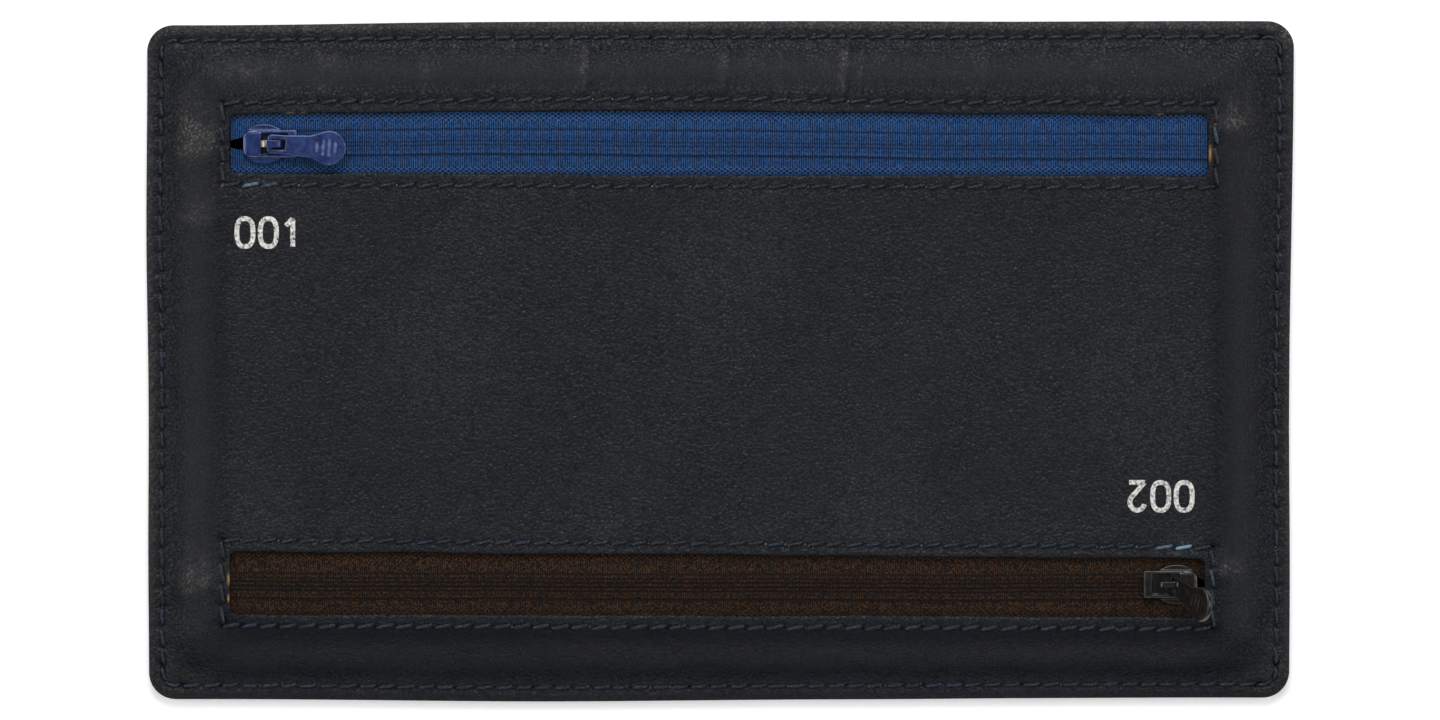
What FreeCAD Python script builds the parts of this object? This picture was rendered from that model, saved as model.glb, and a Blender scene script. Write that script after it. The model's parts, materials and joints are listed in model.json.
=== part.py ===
import FreeCAD, Part
import os
import Sketcher

# Zipped leather travel pouch for a passport and two currencies, in millimetres.
# It lies on its back panel: X runs along the zips, Y across them, Z up from the surface
# it rests on. The origin is under the middle of the outline.
# Each zip is built in a frame of its own: x from the middle of the zip, y across it,
# with the closed slider at the -x end. Zip 2 is turned half a turn about Z.

doc = FreeCAD.newDocument("passport_pouch")
sheet = doc.addObject("Spreadsheet::Sheet", "dims")

DIMENSIONS = [
    # outline and layers
    ("total_length", 205.0),
    ("total_width", 121.5),
    ("corner_radius", 4.8),
    ("leather", 1.1),
    ("lining", 0.25),
    ("lining_inset", 0.2),
    ("leather_top", 9.5),
    # raised middle of the front panel, between the sewn edges
    ("seam_width", 5.0),
    ("slope_run", 6.0),
    ("leather_across_slope", 1.47),
    ("hill_corner", 4.0),
    ("hill_top_round", 2.5),
    # divider: flat under zip 1, raised to the front panel round zip 2
    ("divider_hill_top", 7.8),
    ("divider_gap", 0.3),
    ("divider_hill_start_y", -2.0),
    ("divider_rise_run", 12.0),
    ("divider_window_margin", 0.6),
    # zips: place of the two frames and their openings in the leather
    ("zip_1_center_x", 0.27),
    ("zip_1_center_y", 38.8),
    ("zip_1_turn", 0.0),
    ("zip_1_window_length", 176.5),
    ("zip_1_window_height", 11.1),
    ("zip_1_slider_front", -85.6),
    ("zip_2_center_x", -0.36),
    ("zip_2_center_y", -40.2),
    ("zip_2_turn", 180.0),
    ("zip_2_window_length", 175.6),
    ("zip_2_window_height", 10.7),
    ("zip_2_slider_front", -86.15),
    # zip tape and coil
    ("tape_thickness", 0.5),
    ("tape_half_width", 8.8),
    ("tape_slit", 2.0),
    ("tape_past_window", 2.2),
    ("coil_thickness", 1.8),
    ("coil_width", 1.8),
    ("coil_closed_gap", 0.24),
    ("coil_open_gap", 1.9),
    ("coil_front_lead", 1.5),
    ("coil_join_start", 3.9),
    ("coil_join_end", 6.5),
    ("coil_past_window", 0.4),
    # slider casting, measured back from its front edge
    ("slider_length", 9.6),
    ("slider_clearance", 0.15),
    ("bottom_plate", 0.75),
    ("bottom_clearance", 0.2),
    ("nose_width", 4.4),
    ("front_width", 7.2),
    ("rear_width", 5.6),
    ("shoulder_start", 1.4),
    ("shoulder_end", 5.8),
    ("flange_front_inner", 5.9),
    ("flange_rear_inner", 4.3),
    ("post_front", 1.2),
    ("post_back", 3.6),
    ("post_width", 1.5),
    ("top_plate", 0.65),
    ("rim_height", 0.7),
    ("rim_width", 4.9),
    ("rim_wall", 0.6),
    ("hood_length", 3.25),
    ("hood_extra_height", 0.1),
    ("rear_bar", 1.4),
    # crown bridge, pull tab and lock pin
    ("pivot_back", 4.7),
    ("pivot_height", 10.65),
    ("crown_front", 2.7),
    ("crown_back", 7.05),
    ("crown_leg", 0.6),
    ("crown_width", 1.0),
    ("crown_inner_top", 11.45),
    ("crown_outer_top", 12.0),
    ("crown_round", 0.5),
    ("pull_thickness", 1.0),
    ("pull_bar", 0.9),
    ("pull_root_width", 3.5),
    ("pull_root_length", 2.85),
    ("pull_neck_length", 7.05),
    ("pull_neck_width", 4.0),
    ("pull_flare_width", 5.9),
    ("pull_length", 14.2),
    ("pull_end_radius", 3.12),
    ("pull_hole_width", 1.9),
    ("pull_hole_end", 3.35),
    ("pull_edge_round", 0.25),
    ("zip_1_pull_swing", -4.0),
    ("zip_1_pull_shift", 0.0),
    ("zip_1_pull_raise", 0.0),
    ("zip_2_pull_swing", 22.0),
    ("zip_2_pull_shift", -0.55),
    ("zip_2_pull_raise", 121.0),
    ("pin_start", 5.75),
    ("pin_length", 0.5),
    ("pin_width", 0.6),
    ("pin_bottom", 8.0),
    ("pin_top", 10.4),
    ("pin_clearance", 0.1),
    # stitching
    ("stitch_pitch", 3.5),
    ("stitch_length", 2.9),
    ("stitch_width", 0.7),
    ("stitch_height", 0.3),
    ("edge_stitch_inset", 2.4),
    ("window_stitch_side", 2.1),
    ("window_stitch_end", 1.4),
]
for row, (alias, number) in enumerate(DIMENSIONS, start=1):
    sheet.set(f"A{row}", alias.replace("_", " "))
    sheet.set(f"B{row}", str(number))
    sheet.setAlias(f"B{row}", alias)
doc.recompute()


def dim(alias):
    """The number in the sheet's cell of that name."""
    return float(sheet.get(alias))


# Heights that several parts share, as expressions of the sheet's cells.
LEATHER_TOP = "dims.leather_top"
LEATHER_UNDER = "(dims.leather_top - dims.leather)"
TAPE_UNDER = f"({LEATHER_UNDER} - dims.tape_thickness)"
COIL_UNDER = f"({TAPE_UNDER} - dims.coil_thickness)"
LINING_BASE = "dims.leather"
DIVIDER_BASE = "(dims.leather + dims.lining)"
FRONT_BASE = "(dims.leather + 2 * dims.lining)"
SEAM_TOP = f"({FRONT_BASE} + dims.leather)"
PLATE_UNDER = f"({LEATHER_UNDER} + dims.slider_clearance)"
PLATE_TOP = f"({PLATE_UNDER} + dims.top_plate)"
RIM_TOP = f"({PLATE_TOP} + dims.rim_height)"
HOOD_TOP = f"({RIM_TOP} + dims.hood_extra_height)"
CHANNEL_FLOOR = f"({COIL_UNDER} - dims.bottom_clearance)"

parts = []


# ---------------------------------------------------------------- drawing helpers

def new_body(label):
    """A PartDesign body that becomes one named node."""
    body = doc.addObject("PartDesign::Body", label)
    body.Label = label
    parts.append(body)
    return body


def number_of(expression):
    """The value that an expression of the sheet's cells has now."""
    value = sheet.evalExpression(expression)
    return float(getattr(value, "Value", value))


def new_sketch(body, name, level, role="XY_Plane"):
    """A sketch on one of the body's origin planes, shifted along its normal to level."""
    sketch = body.newObject("Sketcher::SketchObject", f"{body.Name}_{name}")
    plane = [item for item in body.Origin.OriginFeatures if item.Role == role][0]
    sketch.AttachmentSupport = [(plane, "")]
    sketch.MapMode = "FlatFace"
    sketch.setExpression("AttachmentOffset.Base.z", level)
    return sketch


def pin_point(sketch, line, x, y):
    """Tie the start point of a line to the expressions x and y."""
    for kind, expression in (("DistanceX", x), ("DistanceY", y)):
        index = sketch.addConstraint(
            Sketcher.Constraint(kind, -1, 1, line, 1, number_of(expression)))
        sketch.setExpression(f"Constraints[{index}]", expression)


def polygon(sketch, corners):
    """A closed polygon whose corners are pairs of expressions."""
    points = [FreeCAD.Vector(number_of(x), number_of(y), 0) for x, y in corners]
    first = sketch.GeometryCount
    count = len(points)
    for i in range(count):
        sketch.addGeometry(Part.LineSegment(points[i], points[(i + 1) % count]), False)
    for i in range(count):
        following = first + (i + 1) % count
        sketch.addConstraint(Sketcher.Constraint("Coincident", first + i, 2, following, 1))
    for i, (x, y) in enumerate(corners):
        pin_point(sketch, first + i, x, y)


def rectangle(sketch, x0, x1, y0, y1):
    """An upright rectangle between four expressions."""
    polygon(sketch, [(x0, y0), (x1, y0), (x1, y1), (x0, y1)])


def centered_rectangle(sketch, length, width, center_x="0", center_y="0"):
    """An upright rectangle of that length and width about a centre."""
    rectangle(sketch,
              f"{center_x} - ({length}) / 2", f"{center_x} + ({length}) / 2",
              f"{center_y} - ({width}) / 2", f"{center_y} + ({width}) / 2")


def mirrored_outline(half):
    """Corners of an outline that is the same on both sides of y = 0."""
    return half + [(x, f"-({y})") for x, y in reversed(half)]


def pad(body, name, sketch, length):
    """Raise a sketch upwards by an expression."""
    feature = body.newObject("PartDesign::Pad", f"{body.Name}_{name}")
    feature.Profile = sketch
    feature.setExpression("Length", length)
    doc.recompute()
    return feature


def pocket(body, name, sketch, length):
    """Cut a sketch downwards by an expression, and make sure that it took something."""
    before = body.Shape.Volume
    feature = body.newObject("PartDesign::Pocket", f"{body.Name}_{name}")
    feature.Profile = sketch
    feature.Reversed = False
    feature.setExpression("Length", length)
    doc.recompute()
    if not body.Shape.Volume < before:
        raise RuntimeError(f"{feature.Name} cut nothing")
    return feature


def loft(body, name, low, high, subtractive=False):
    """A solid, or a hollow, whose sides run straight from one sketch to the next."""
    kind = "PartDesign::SubtractiveLoft" if subtractive else "PartDesign::AdditiveLoft"
    feature = body.newObject(kind, f"{body.Name}_{name}")
    feature.Profile = low
    feature.Sections = [high]
    feature.Ruled = True
    doc.recompute()
    return feature


def fillet(body, name, wanted, radius):
    """Round the edges of the body's present shape that the test wants."""
    base = body.Tip
    names = [f"Edge{i}" for i, edge in enumerate(base.Shape.Edges, start=1) if wanted(edge)]
    feature = body.newObject("PartDesign::Fillet", f"{body.Name}_{name}")
    feature.Base = (base, names)
    feature.setExpression("Radius", radius)
    doc.recompute()
    return feature


def steepness(edge):
    """How much of an edge's reach is climb: 0 is level, 1 is upright."""
    reach = edge.Vertexes[-1].Point - edge.Vertexes[0].Point
    return abs(reach.z) / reach.Length if reach.Length > 0 else 0.0


def is_upright(edge):
    return steepness(edge) > 0.95


def is_slanted(edge):
    return 0.5 < steepness(edge) < 0.95


def is_level_at(height):
    """A test for the edges that lie at one height."""
    def test(edge):
        box = edge.BoundBox
        return abs(box.ZMin - height) < 1e-6 and abs(box.ZMax - height) < 1e-6
    return test


def place_in_zip(body, zip_name):
    """Put a body that is drawn in a zip's own frame where that zip is."""
    body.setExpression("Placement.Base.x", f"dims.{zip_name}_center_x")
    body.setExpression("Placement.Base.y", f"dims.{zip_name}_center_y")
    body.setExpression("Placement.Rotation.Angle", f"dims.{zip_name}_turn")


# ---------------------------------------------------------------- leather and linings

SEAM_LENGTH = "(dims.total_length - 2 * dims.seam_width)"
SEAM_WIDTH = "(dims.total_width - 2 * dims.seam_width)"


def sheet_body(label, base, thickness, inset):
    """A flat layer over the whole outline, drawn in by inset on every side."""
    body = new_body(label)
    outline = new_sketch(body, "outline", base)
    centered_rectangle(outline, f"dims.total_length - 2 * ({inset})",
                       f"dims.total_width - 2 * ({inset})")
    pad(body, "layer", outline, thickness)
    fillet(body, "corners", is_upright, f"dims.corner_radius - ({inset})")
    return body


def make_back_panel():
    sheet_body("back_panel", "0", "dims.leather", "0")


def make_back_lining():
    sheet_body("back_lining", LINING_BASE, "dims.lining", "dims.lining_inset")


def cut_window(body, zip_name, top, margin):
    """The long opening over a zip, cut down from the level top."""
    window = new_sketch(body, f"{zip_name}_window", top)
    centered_rectangle(window,
                       f"dims.{zip_name}_window_length + 2 * ({margin})",
                       f"dims.{zip_name}_window_height + 2 * ({margin})",
                       f"dims.{zip_name}_center_x", f"dims.{zip_name}_center_y")
    pocket(body, f"{zip_name}_opening", window, "2 * dims.leather")


def make_front_panel():
    """Sewn edge, sloping sides and a raised middle with an opening over each zip."""
    body = sheet_body("front_panel", FRONT_BASE, "dims.leather", "0")
    rise = f"({LEATHER_UNDER} - {FRONT_BASE})"
    grown = "2 * dims.leather_across_slope"
    drawn_in = f"2 * dims.slope_run * (1 + dims.leather / {rise})"
    outer_low = new_sketch(body, "outer_low", FRONT_BASE)
    centered_rectangle(outer_low, f"{SEAM_LENGTH} + {grown}", f"{SEAM_WIDTH} + {grown}")
    outer_high = new_sketch(body, "outer_high", LEATHER_TOP)
    centered_rectangle(outer_high, f"{SEAM_LENGTH} + {grown} - {drawn_in}",
                       f"{SEAM_WIDTH} + {grown} - {drawn_in}")
    loft(body, "hill", outer_low, outer_high)
    fillet(body, "hill_corners", is_slanted, "dims.hill_corner")
    fillet(body, "hill_brow", is_level_at(dim("leather_top")), "dims.hill_top_round")
    inner_low = new_sketch(body, "inner_low", FRONT_BASE)
    centered_rectangle(inner_low, SEAM_LENGTH, SEAM_WIDTH)
    inner_high = new_sketch(body, "inner_high", LEATHER_UNDER)
    centered_rectangle(inner_high, f"{SEAM_LENGTH} - 2 * dims.slope_run",
                       f"{SEAM_WIDTH} - 2 * dims.slope_run")
    loft(body, "hollow", inner_low, inner_high, subtractive=True)
    for zip_name in ("zip_1", "zip_2"):
        cut_window(body, zip_name, LEATHER_TOP, "0")


def make_divider_lining():
    """Thin lining between the pockets. It lies low under zip 1 and rises round zip 2."""
    body = sheet_body("divider_lining", DIVIDER_BASE, "dims.lining", "dims.lining_inset")
    rise = f"(dims.divider_hill_top - {FRONT_BASE})"
    edge_y = f"({SEAM_WIDTH} / 2 - dims.divider_gap)"
    side_run = f"(dims.slope_run * {rise} / ({LEATHER_UNDER} - {FRONT_BASE}))"
    thin = "dims.lining"
    levels = (("outer", FRONT_BASE, "dims.divider_hill_top", "0"),
              ("inner", DIVIDER_BASE, "(dims.divider_hill_top - dims.lining)", thin))
    for name, low_level, high_level, inside in levels:
        low = new_sketch(body, f"{name}_low", low_level)
        half_x = f"({SEAM_LENGTH} / 2 - dims.divider_gap - {inside})"
        rectangle(low, f"-{half_x}", half_x,
                  f"-({edge_y} - {inside})", f"dims.divider_hill_start_y - {inside}")
        high = new_sketch(body, f"{name}_high", high_level)
        rectangle(high, f"-({half_x} - {side_run})", f"{half_x} - {side_run}",
                  f"-({edge_y} - {side_run} - {inside})",
                  f"dims.divider_hill_start_y - dims.divider_rise_run - {inside}")
        loft(body, name, low, high, subtractive=name == "inner")
    cut_window(body, "zip_2", "dims.divider_hill_top", "dims.divider_window_margin")


# ---------------------------------------------------------------- zips

def make_tape(zip_name, side):
    """Woven tape on one side of a zip, stopping short of the middle line."""
    sign = "" if side == "outer" else "-"
    body = new_body(f"{zip_name}_tape_{side}")
    outline = new_sketch(body, "outline", TAPE_UNDER)
    half = f"(dims.{zip_name}_window_length / 2 + dims.tape_past_window)"
    rectangle(outline, f"-{half}", half,
              f"{sign}(dims.tape_slit / 2)", f"{sign}dims.tape_half_width")
    pad(body, "layer", outline, "dims.tape_thickness")
    place_in_zip(body, zip_name)


def make_coil(zip_name, side):
    """Nylon coil under one tape. It runs round the slider's post and closes behind it."""
    sign = "" if side == "outer" else "-"
    body = new_body(f"{zip_name}_coil_{side}")
    outline = new_sketch(body, "outline", COIL_UNDER)
    front = f"dims.{zip_name}_slider_front"
    stations = [
        (f"{front} - dims.coil_front_lead", "dims.coil_open_gap / 2"),
        (f"{front} + dims.coil_join_start", "dims.coil_open_gap / 2"),
        (f"{front} + dims.coil_join_end", "dims.coil_closed_gap / 2"),
        (f"dims.{zip_name}_window_length / 2 + dims.coil_past_window",
         "dims.coil_closed_gap / 2"),
    ]
    near = [(x, f"{sign}({gap})") for x, gap in stations]
    far = [(x, f"{sign}({gap} + dims.coil_width)") for x, gap in reversed(stations)]
    polygon(outline, near + far)
    pad(body, "bar", outline, "dims.coil_thickness")
    place_in_zip(body, zip_name)


def slider_outline(front, width_nose, width_front, width_rear):
    """Plan of a slider plate: narrow nose, wide shoulders, parallel rear."""
    return mirrored_outline([
        (front, f"({width_nose}) / 2"),
        (f"{front} + dims.shoulder_start", f"({width_front}) / 2"),
        (f"{front} + (dims.shoulder_start + dims.shoulder_end) / 2",
         f"({width_front}) / 2"),
        (f"{front} + dims.shoulder_end", f"({width_rear}) / 2"),
        (f"{front} + dims.slider_length", f"({width_rear}) / 2"),
    ])


def make_slider_body(zip_name):
    """Cast slider: channel round the coils, post through the slit, rimmed top plate."""
    body = new_body(f"{zip_name}_slider_body")
    front = f"dims.{zip_name}_slider_front"
    floor = new_sketch(body, "floor", f"{CHANNEL_FLOOR} - dims.bottom_plate")
    polygon(floor, slider_outline(front, "dims.nose_width", "dims.front_width",
                                  "dims.rear_width"))
    pad(body, "bottom_plate", floor, "dims.bottom_plate")

    flange_top = f"({TAPE_UNDER} - dims.slider_clearance)"
    walls = new_sketch(body, "walls", CHANNEL_FLOOR)
    for sign in ("", "-"):
        polygon(walls, [
            (f"{front} + dims.shoulder_start", f"{sign}dims.flange_front_inner / 2"),
            (f"{front} + dims.coil_join_start", f"{sign}dims.flange_front_inner / 2"),
            (f"{front} + dims.coil_join_end", f"{sign}dims.flange_rear_inner / 2"),
            (f"{front} + dims.slider_length", f"{sign}dims.flange_rear_inner / 2"),
            (f"{front} + dims.slider_length", f"{sign}dims.rear_width / 2"),
            (f"{front} + dims.shoulder_end", f"{sign}dims.rear_width / 2"),
            (f"{front} + (dims.shoulder_start + dims.shoulder_end) / 2",
             f"{sign}dims.front_width / 2"),
            (f"{front} + dims.shoulder_start", f"{sign}dims.front_width / 2"),
        ])
    pad(body, "flanges", walls, f"{flange_top} - {CHANNEL_FLOOR}")

    wedge = new_sketch(body, "wedge", CHANNEL_FLOOR)
    middle = f"{front} + (dims.post_front + dims.post_back) / 2"
    polygon(wedge, mirrored_outline([
        (f"{front} + dims.post_front", "dims.post_width / 4"),
        (middle, "dims.post_width / 2"),
        (f"{front} + dims.post_back", "dims.post_width / 8"),
    ]))
    pad(body, "post", wedge, f"{PLATE_UNDER} - {CHANNEL_FLOOR}")

    plate = new_sketch(body, "plate", PLATE_UNDER)
    polygon(plate, slider_outline(front, "dims.nose_width", "dims.front_width",
                                  "dims.rim_width"))
    pad(body, "top_plate", plate, "dims.top_plate")

    rails = new_sketch(body, "rails", PLATE_TOP)
    for sign in ("", "-"):
        rectangle(rails, f"{front} + dims.hood_length",
                  f"{front} + dims.slider_length - dims.rear_bar",
                  f"{sign}(dims.rim_width / 2 - dims.rim_wall)",
                  f"{sign}dims.rim_width / 2")
    pad(body, "rim_sides", rails, "dims.rim_height")
    bar = new_sketch(body, "bar", PLATE_TOP)
    rectangle(bar, f"{front} + dims.slider_length - dims.rear_bar",
              f"{front} + dims.slider_length",
              "-dims.rim_width / 2", "dims.rim_width / 2")
    pad(body, "rear_bar", bar, "dims.rim_height")
    hood = new_sketch(body, "hood_outline", PLATE_TOP)
    polygon(hood, mirrored_outline([
        (front, "dims.nose_width / 2 - dims.rim_wall"),
        (f"{front} + dims.rim_wall", "dims.rim_width / 2"),
        (f"{front} + dims.hood_length", "dims.rim_width / 2"),
    ]))
    pad(body, "hood", hood, "dims.rim_height + dims.hood_extra_height")

    slot = new_sketch(body, "slot_outline", PLATE_TOP)
    rectangle(slot, f"{front} + dims.pin_start - dims.pin_clearance",
              f"{front} + dims.pin_start + dims.pin_length + dims.pin_clearance",
              "-(dims.pin_width / 2 + dims.pin_clearance)",
              "dims.pin_width / 2 + dims.pin_clearance")
    pocket(body, "pin_slot", slot, "dims.top_plate + dims.slider_clearance")
    place_in_zip(body, zip_name)


def make_crown(zip_name):
    """Bridge from the hood to the plate that keeps the pull's cross bar."""
    body = new_body(f"{zip_name}_crown")
    front = f"dims.{zip_name}_slider_front"
    back = f"{front} + dims.crown_back"
    start = f"{front} + dims.crown_front"
    arch = new_sketch(body, "arch", "-dims.crown_width / 2", role="XZ_Plane")
    polygon(arch, [
        (start, HOOD_TOP),
        (start, "dims.crown_outer_top"),
        (back, "dims.crown_outer_top"),
        (back, PLATE_TOP),
        (f"{back} - dims.crown_leg", PLATE_TOP),
        (f"{back} - dims.crown_leg", "dims.crown_inner_top"),
        (f"{start} + dims.crown_leg", "dims.crown_inner_top"),
        (f"{start} + dims.crown_leg", HOOD_TOP),
    ])
    pad(body, "bridge", arch, "dims.crown_width")
    top = number_of("dims.crown_outer_top")

    def is_outer_corner(edge):
        low, high = edge.BoundBox.ZMin, edge.BoundBox.ZMax
        across = edge.BoundBox.YLength
        return across > dim("crown_width") / 2 and min(low, high) > top - 1e-6
    fillet(body, "rounding", is_outer_corner, "dims.crown_round")
    place_in_zip(body, zip_name)


def make_pull_tab(zip_name):
    """Flat tab that flares to a round grip end, with a slot that leaves a cross bar at its root."""
    body = new_body(f"{zip_name}_pull_tab")
    root = "(-dims.pull_bar / 2)"
    level = "-dims.pull_thickness / 2"
    shank = new_sketch(body, "shank_outline", level)
    end_center = f"({root} + dims.pull_length - dims.pull_end_radius)"
    polygon(shank, mirrored_outline([
        (root, "dims.pull_root_width / 2"),
        (f"{root} + dims.pull_root_length", "dims.pull_root_width / 2"),
        (f"{root} + dims.pull_neck_length", "dims.pull_neck_width / 2"),
        (end_center, "dims.pull_flare_width / 2"),
    ]))
    pad(body, "shank", shank, "dims.pull_thickness")
    grip = new_sketch(body, "grip_outline", level)
    center = FreeCAD.Vector(number_of(end_center), 0, 0)
    circle = Part.Circle(center, FreeCAD.Vector(0, 0, 1), dim("pull_end_radius"))
    ring = grip.addGeometry(circle, False)
    grip.addConstraint(Sketcher.Constraint("PointOnObject", ring, 3, -1))
    across = grip.addConstraint(
        Sketcher.Constraint("DistanceX", -1, 1, ring, 3, center.x))
    grip.setExpression(f"Constraints[{across}]", end_center)
    size = grip.addConstraint(Sketcher.Constraint("Radius", ring, dim("pull_end_radius")))
    grip.setExpression(f"Constraints[{size}]", "dims.pull_end_radius")
    pad(body, "grip", grip, "dims.pull_thickness")
    slot = new_sketch(body, "slot_outline", "dims.pull_thickness / 2")
    rectangle(slot, f"{root} + dims.pull_bar", f"{root} + dims.pull_hole_end",
              "-dims.pull_hole_width / 2", "dims.pull_hole_width / 2")
    pocket(body, "slot", slot, "dims.pull_thickness")

    def is_rim(edge):
        box = edge.BoundBox
        outside = max(abs(box.YMin), abs(box.YMax)) > dim("pull_root_width") / 2 - 0.01
        return box.ZLength < 1e-6 and outside
    fillet(body, "edges", is_rim, "dims.pull_edge_round")

    # Sideways swing in its own plane first, then the hinge angle, then the zip's frame.
    swing = FreeCAD.Rotation(FreeCAD.Vector(0, 0, 1), dim(f"{zip_name}_pull_swing"))
    lift = FreeCAD.Rotation(FreeCAD.Vector(0, -1, 0), dim(f"{zip_name}_pull_raise"))
    turn = FreeCAD.Rotation(FreeCAD.Vector(0, 0, 1), dim(f"{zip_name}_turn"))
    along = dim(f"{zip_name}_slider_front") + dim("pivot_back")
    offset = turn.multVec(FreeCAD.Vector(along, dim(f"{zip_name}_pull_shift"), 0))
    pivot = offset + FreeCAD.Vector(dim(f"{zip_name}_center_x"),
                                    dim(f"{zip_name}_center_y"), dim("pivot_height"))
    body.Placement = FreeCAD.Placement(pivot, turn.multiply(lift).multiply(swing))


def make_lock_pin(zip_name):
    """Small pin under the crown that drops through the plate between the tapes."""
    body = new_body(f"{zip_name}_lock_pin")
    front = f"dims.{zip_name}_slider_front"
    outline = new_sketch(body, "outline", "dims.pin_bottom")
    rectangle(outline, f"{front} + dims.pin_start",
              f"{front} + dims.pin_start + dims.pin_length",
              "-dims.pin_width / 2", "dims.pin_width / 2")
    pad(body, "pin", outline, "dims.pin_top - dims.pin_bottom")
    place_in_zip(body, zip_name)


# ---------------------------------------------------------------- stitching

def stitch_rectangle(label, center, length, width, base):
    """Thread lying on the leather round a rectangle, one small solid for each stitch."""
    solids = []
    pitch, long_side = dim("stitch_pitch"), dim("stitch_length")
    wide, high = dim("stitch_width"), dim("stitch_height")
    for run, across, angle in ((length, width, 0), (width, length, 90)):
        count = int(round(run / pitch))
        step = run / count
        for side in (-1, 1):
            for i in range(count):
                bar = Part.makeBox(long_side, wide, high,
                                   FreeCAD.Vector(-long_side / 2, -wide / 2, 0))
                along = -run / 2 + (i + 0.5) * step
                place = FreeCAD.Vector(along, side * across / 2, 0)
                turn = FreeCAD.Rotation(FreeCAD.Vector(0, 0, 1), angle)
                bar.Placement = FreeCAD.Placement(turn.multVec(place), turn)
                solids.append(bar)
    thread = doc.addObject("Part::Feature", label)
    thread.Label = label
    thread.Shape = Part.makeCompound(solids)
    thread.Placement = FreeCAD.Placement(
        FreeCAD.Vector(center[0], center[1], base), FreeCAD.Rotation())
    parts.append(thread)


def make_perimeter_stitching():
    inset = 2 * dim("edge_stitch_inset")
    stitch_rectangle("perimeter_stitching", (0, 0), dim("total_length") - inset,
                     dim("total_width") - inset, number_of(SEAM_TOP))


def make_window_stitching(zip_name):
    center = (dim(f"{zip_name}_center_x"), dim(f"{zip_name}_center_y"))
    length = dim(f"{zip_name}_window_length") + 2 * dim("window_stitch_end")
    width = dim(f"{zip_name}_window_height") + 2 * dim("window_stitch_side")
    stitch_rectangle(f"{zip_name}_window_stitching", center, length, width,
                     dim("leather_top"))


# ---------------------------------------------------------------- assembly

make_back_panel()
make_back_lining()
make_divider_lining()
make_front_panel()
make_perimeter_stitching()
for zip_label in ("zip_1", "zip_2"):
    make_window_stitching(zip_label)
    for tape_side in ("outer", "inner"):
        make_tape(zip_label, tape_side)
        make_coil(zip_label, tape_side)
    make_slider_body(zip_label)
    make_crown(zip_label)
    make_pull_tab(zip_label)
    make_lock_pin(zip_label)
doc.recompute()

for item in doc.Objects:
    if "Invalid" in item.State or "Error" in item.State:
        raise RuntimeError(f"{item.Name} failed: {item.State}")
for part in parts:
    if part.Shape.isNull() or not part.Shape.isValid():
        raise RuntimeError(f"{part.Label} has no valid shape")

os.makedirs("parts", exist_ok=True)
for part in parts:
    box = part.Shape.BoundBox
    print(f"{part.Label}: {len(part.Shape.Solids)} solid(s), {part.Shape.Volume:.1f} mm3, "
          f"x {box.XMin:.2f}..{box.XMax:.2f} y {box.YMin:.2f}..{box.YMax:.2f} "
          f"z {box.ZMin:.2f}..{box.ZMax:.2f}")
    part.Shape.exportStep(f"parts/{part.Label}.step")
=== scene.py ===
import json
import math
import bmesh
import bpy
import numpy as np
from mathutils import Matrix, Vector


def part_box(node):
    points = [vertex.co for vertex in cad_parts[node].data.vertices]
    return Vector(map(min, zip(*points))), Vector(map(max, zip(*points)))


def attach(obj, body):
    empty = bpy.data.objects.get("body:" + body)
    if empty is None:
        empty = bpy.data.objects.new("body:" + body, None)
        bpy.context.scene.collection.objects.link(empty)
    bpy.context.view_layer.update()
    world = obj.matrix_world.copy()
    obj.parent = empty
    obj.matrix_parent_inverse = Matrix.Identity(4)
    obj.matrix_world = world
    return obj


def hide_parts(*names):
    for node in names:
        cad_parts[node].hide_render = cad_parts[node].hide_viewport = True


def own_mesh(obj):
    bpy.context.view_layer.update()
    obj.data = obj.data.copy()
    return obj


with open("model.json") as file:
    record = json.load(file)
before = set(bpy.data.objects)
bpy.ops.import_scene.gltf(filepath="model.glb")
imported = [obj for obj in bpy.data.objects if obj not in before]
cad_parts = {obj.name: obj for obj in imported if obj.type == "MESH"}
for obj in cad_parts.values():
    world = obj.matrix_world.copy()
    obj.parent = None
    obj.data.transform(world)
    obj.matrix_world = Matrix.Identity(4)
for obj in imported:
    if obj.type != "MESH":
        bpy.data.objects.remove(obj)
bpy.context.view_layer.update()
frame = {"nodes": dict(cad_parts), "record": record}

# Lengths below are in millimetres and are turned into metres when a mesh is made.
MM = 0.001


def box_mm(node):
    """A node's lowest and highest corners, in millimetres."""
    low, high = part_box(node)
    return np.array(low) / MM, np.array(high) / MM


def points_of(thing):
    """A mesh object's points, in millimetres."""
    return np.array([v.co for v in thing.data.vertices]) / MM


PANEL_LOW, PANEL_HIGH = box_mm("front_panel")
HALF_X, HALF_Y = PANEL_HIGH[0], PANEL_HIGH[1]
CORNER = 4.8
LEATHER_TOP = PANEL_HIGH[2]
TAPE_LOW, TAPE_HIGH = box_mm("zip_1_tape_outer")
TAPE_TOP = TAPE_HIGH[2]
TAPE_THICK = TAPE_HIGH[2] - TAPE_LOW[2]
LEATHER = LEATHER_TOP - TAPE_TOP
SEAM_TOP = box_mm("perimeter_stitching")[0][2]
LINING = 0.25
STITCH_WIDTH = 0.7
STITCH_PITCH = 3.5
EDGE_STITCH = HALF_X - box_mm("perimeter_stitching")[1][0] + STITCH_WIDTH / 2
WINDOW_STITCH_END = 1.4
WINDOW_STITCH_SIDE = 2.1
COIL_PITCH = 1.27


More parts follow.
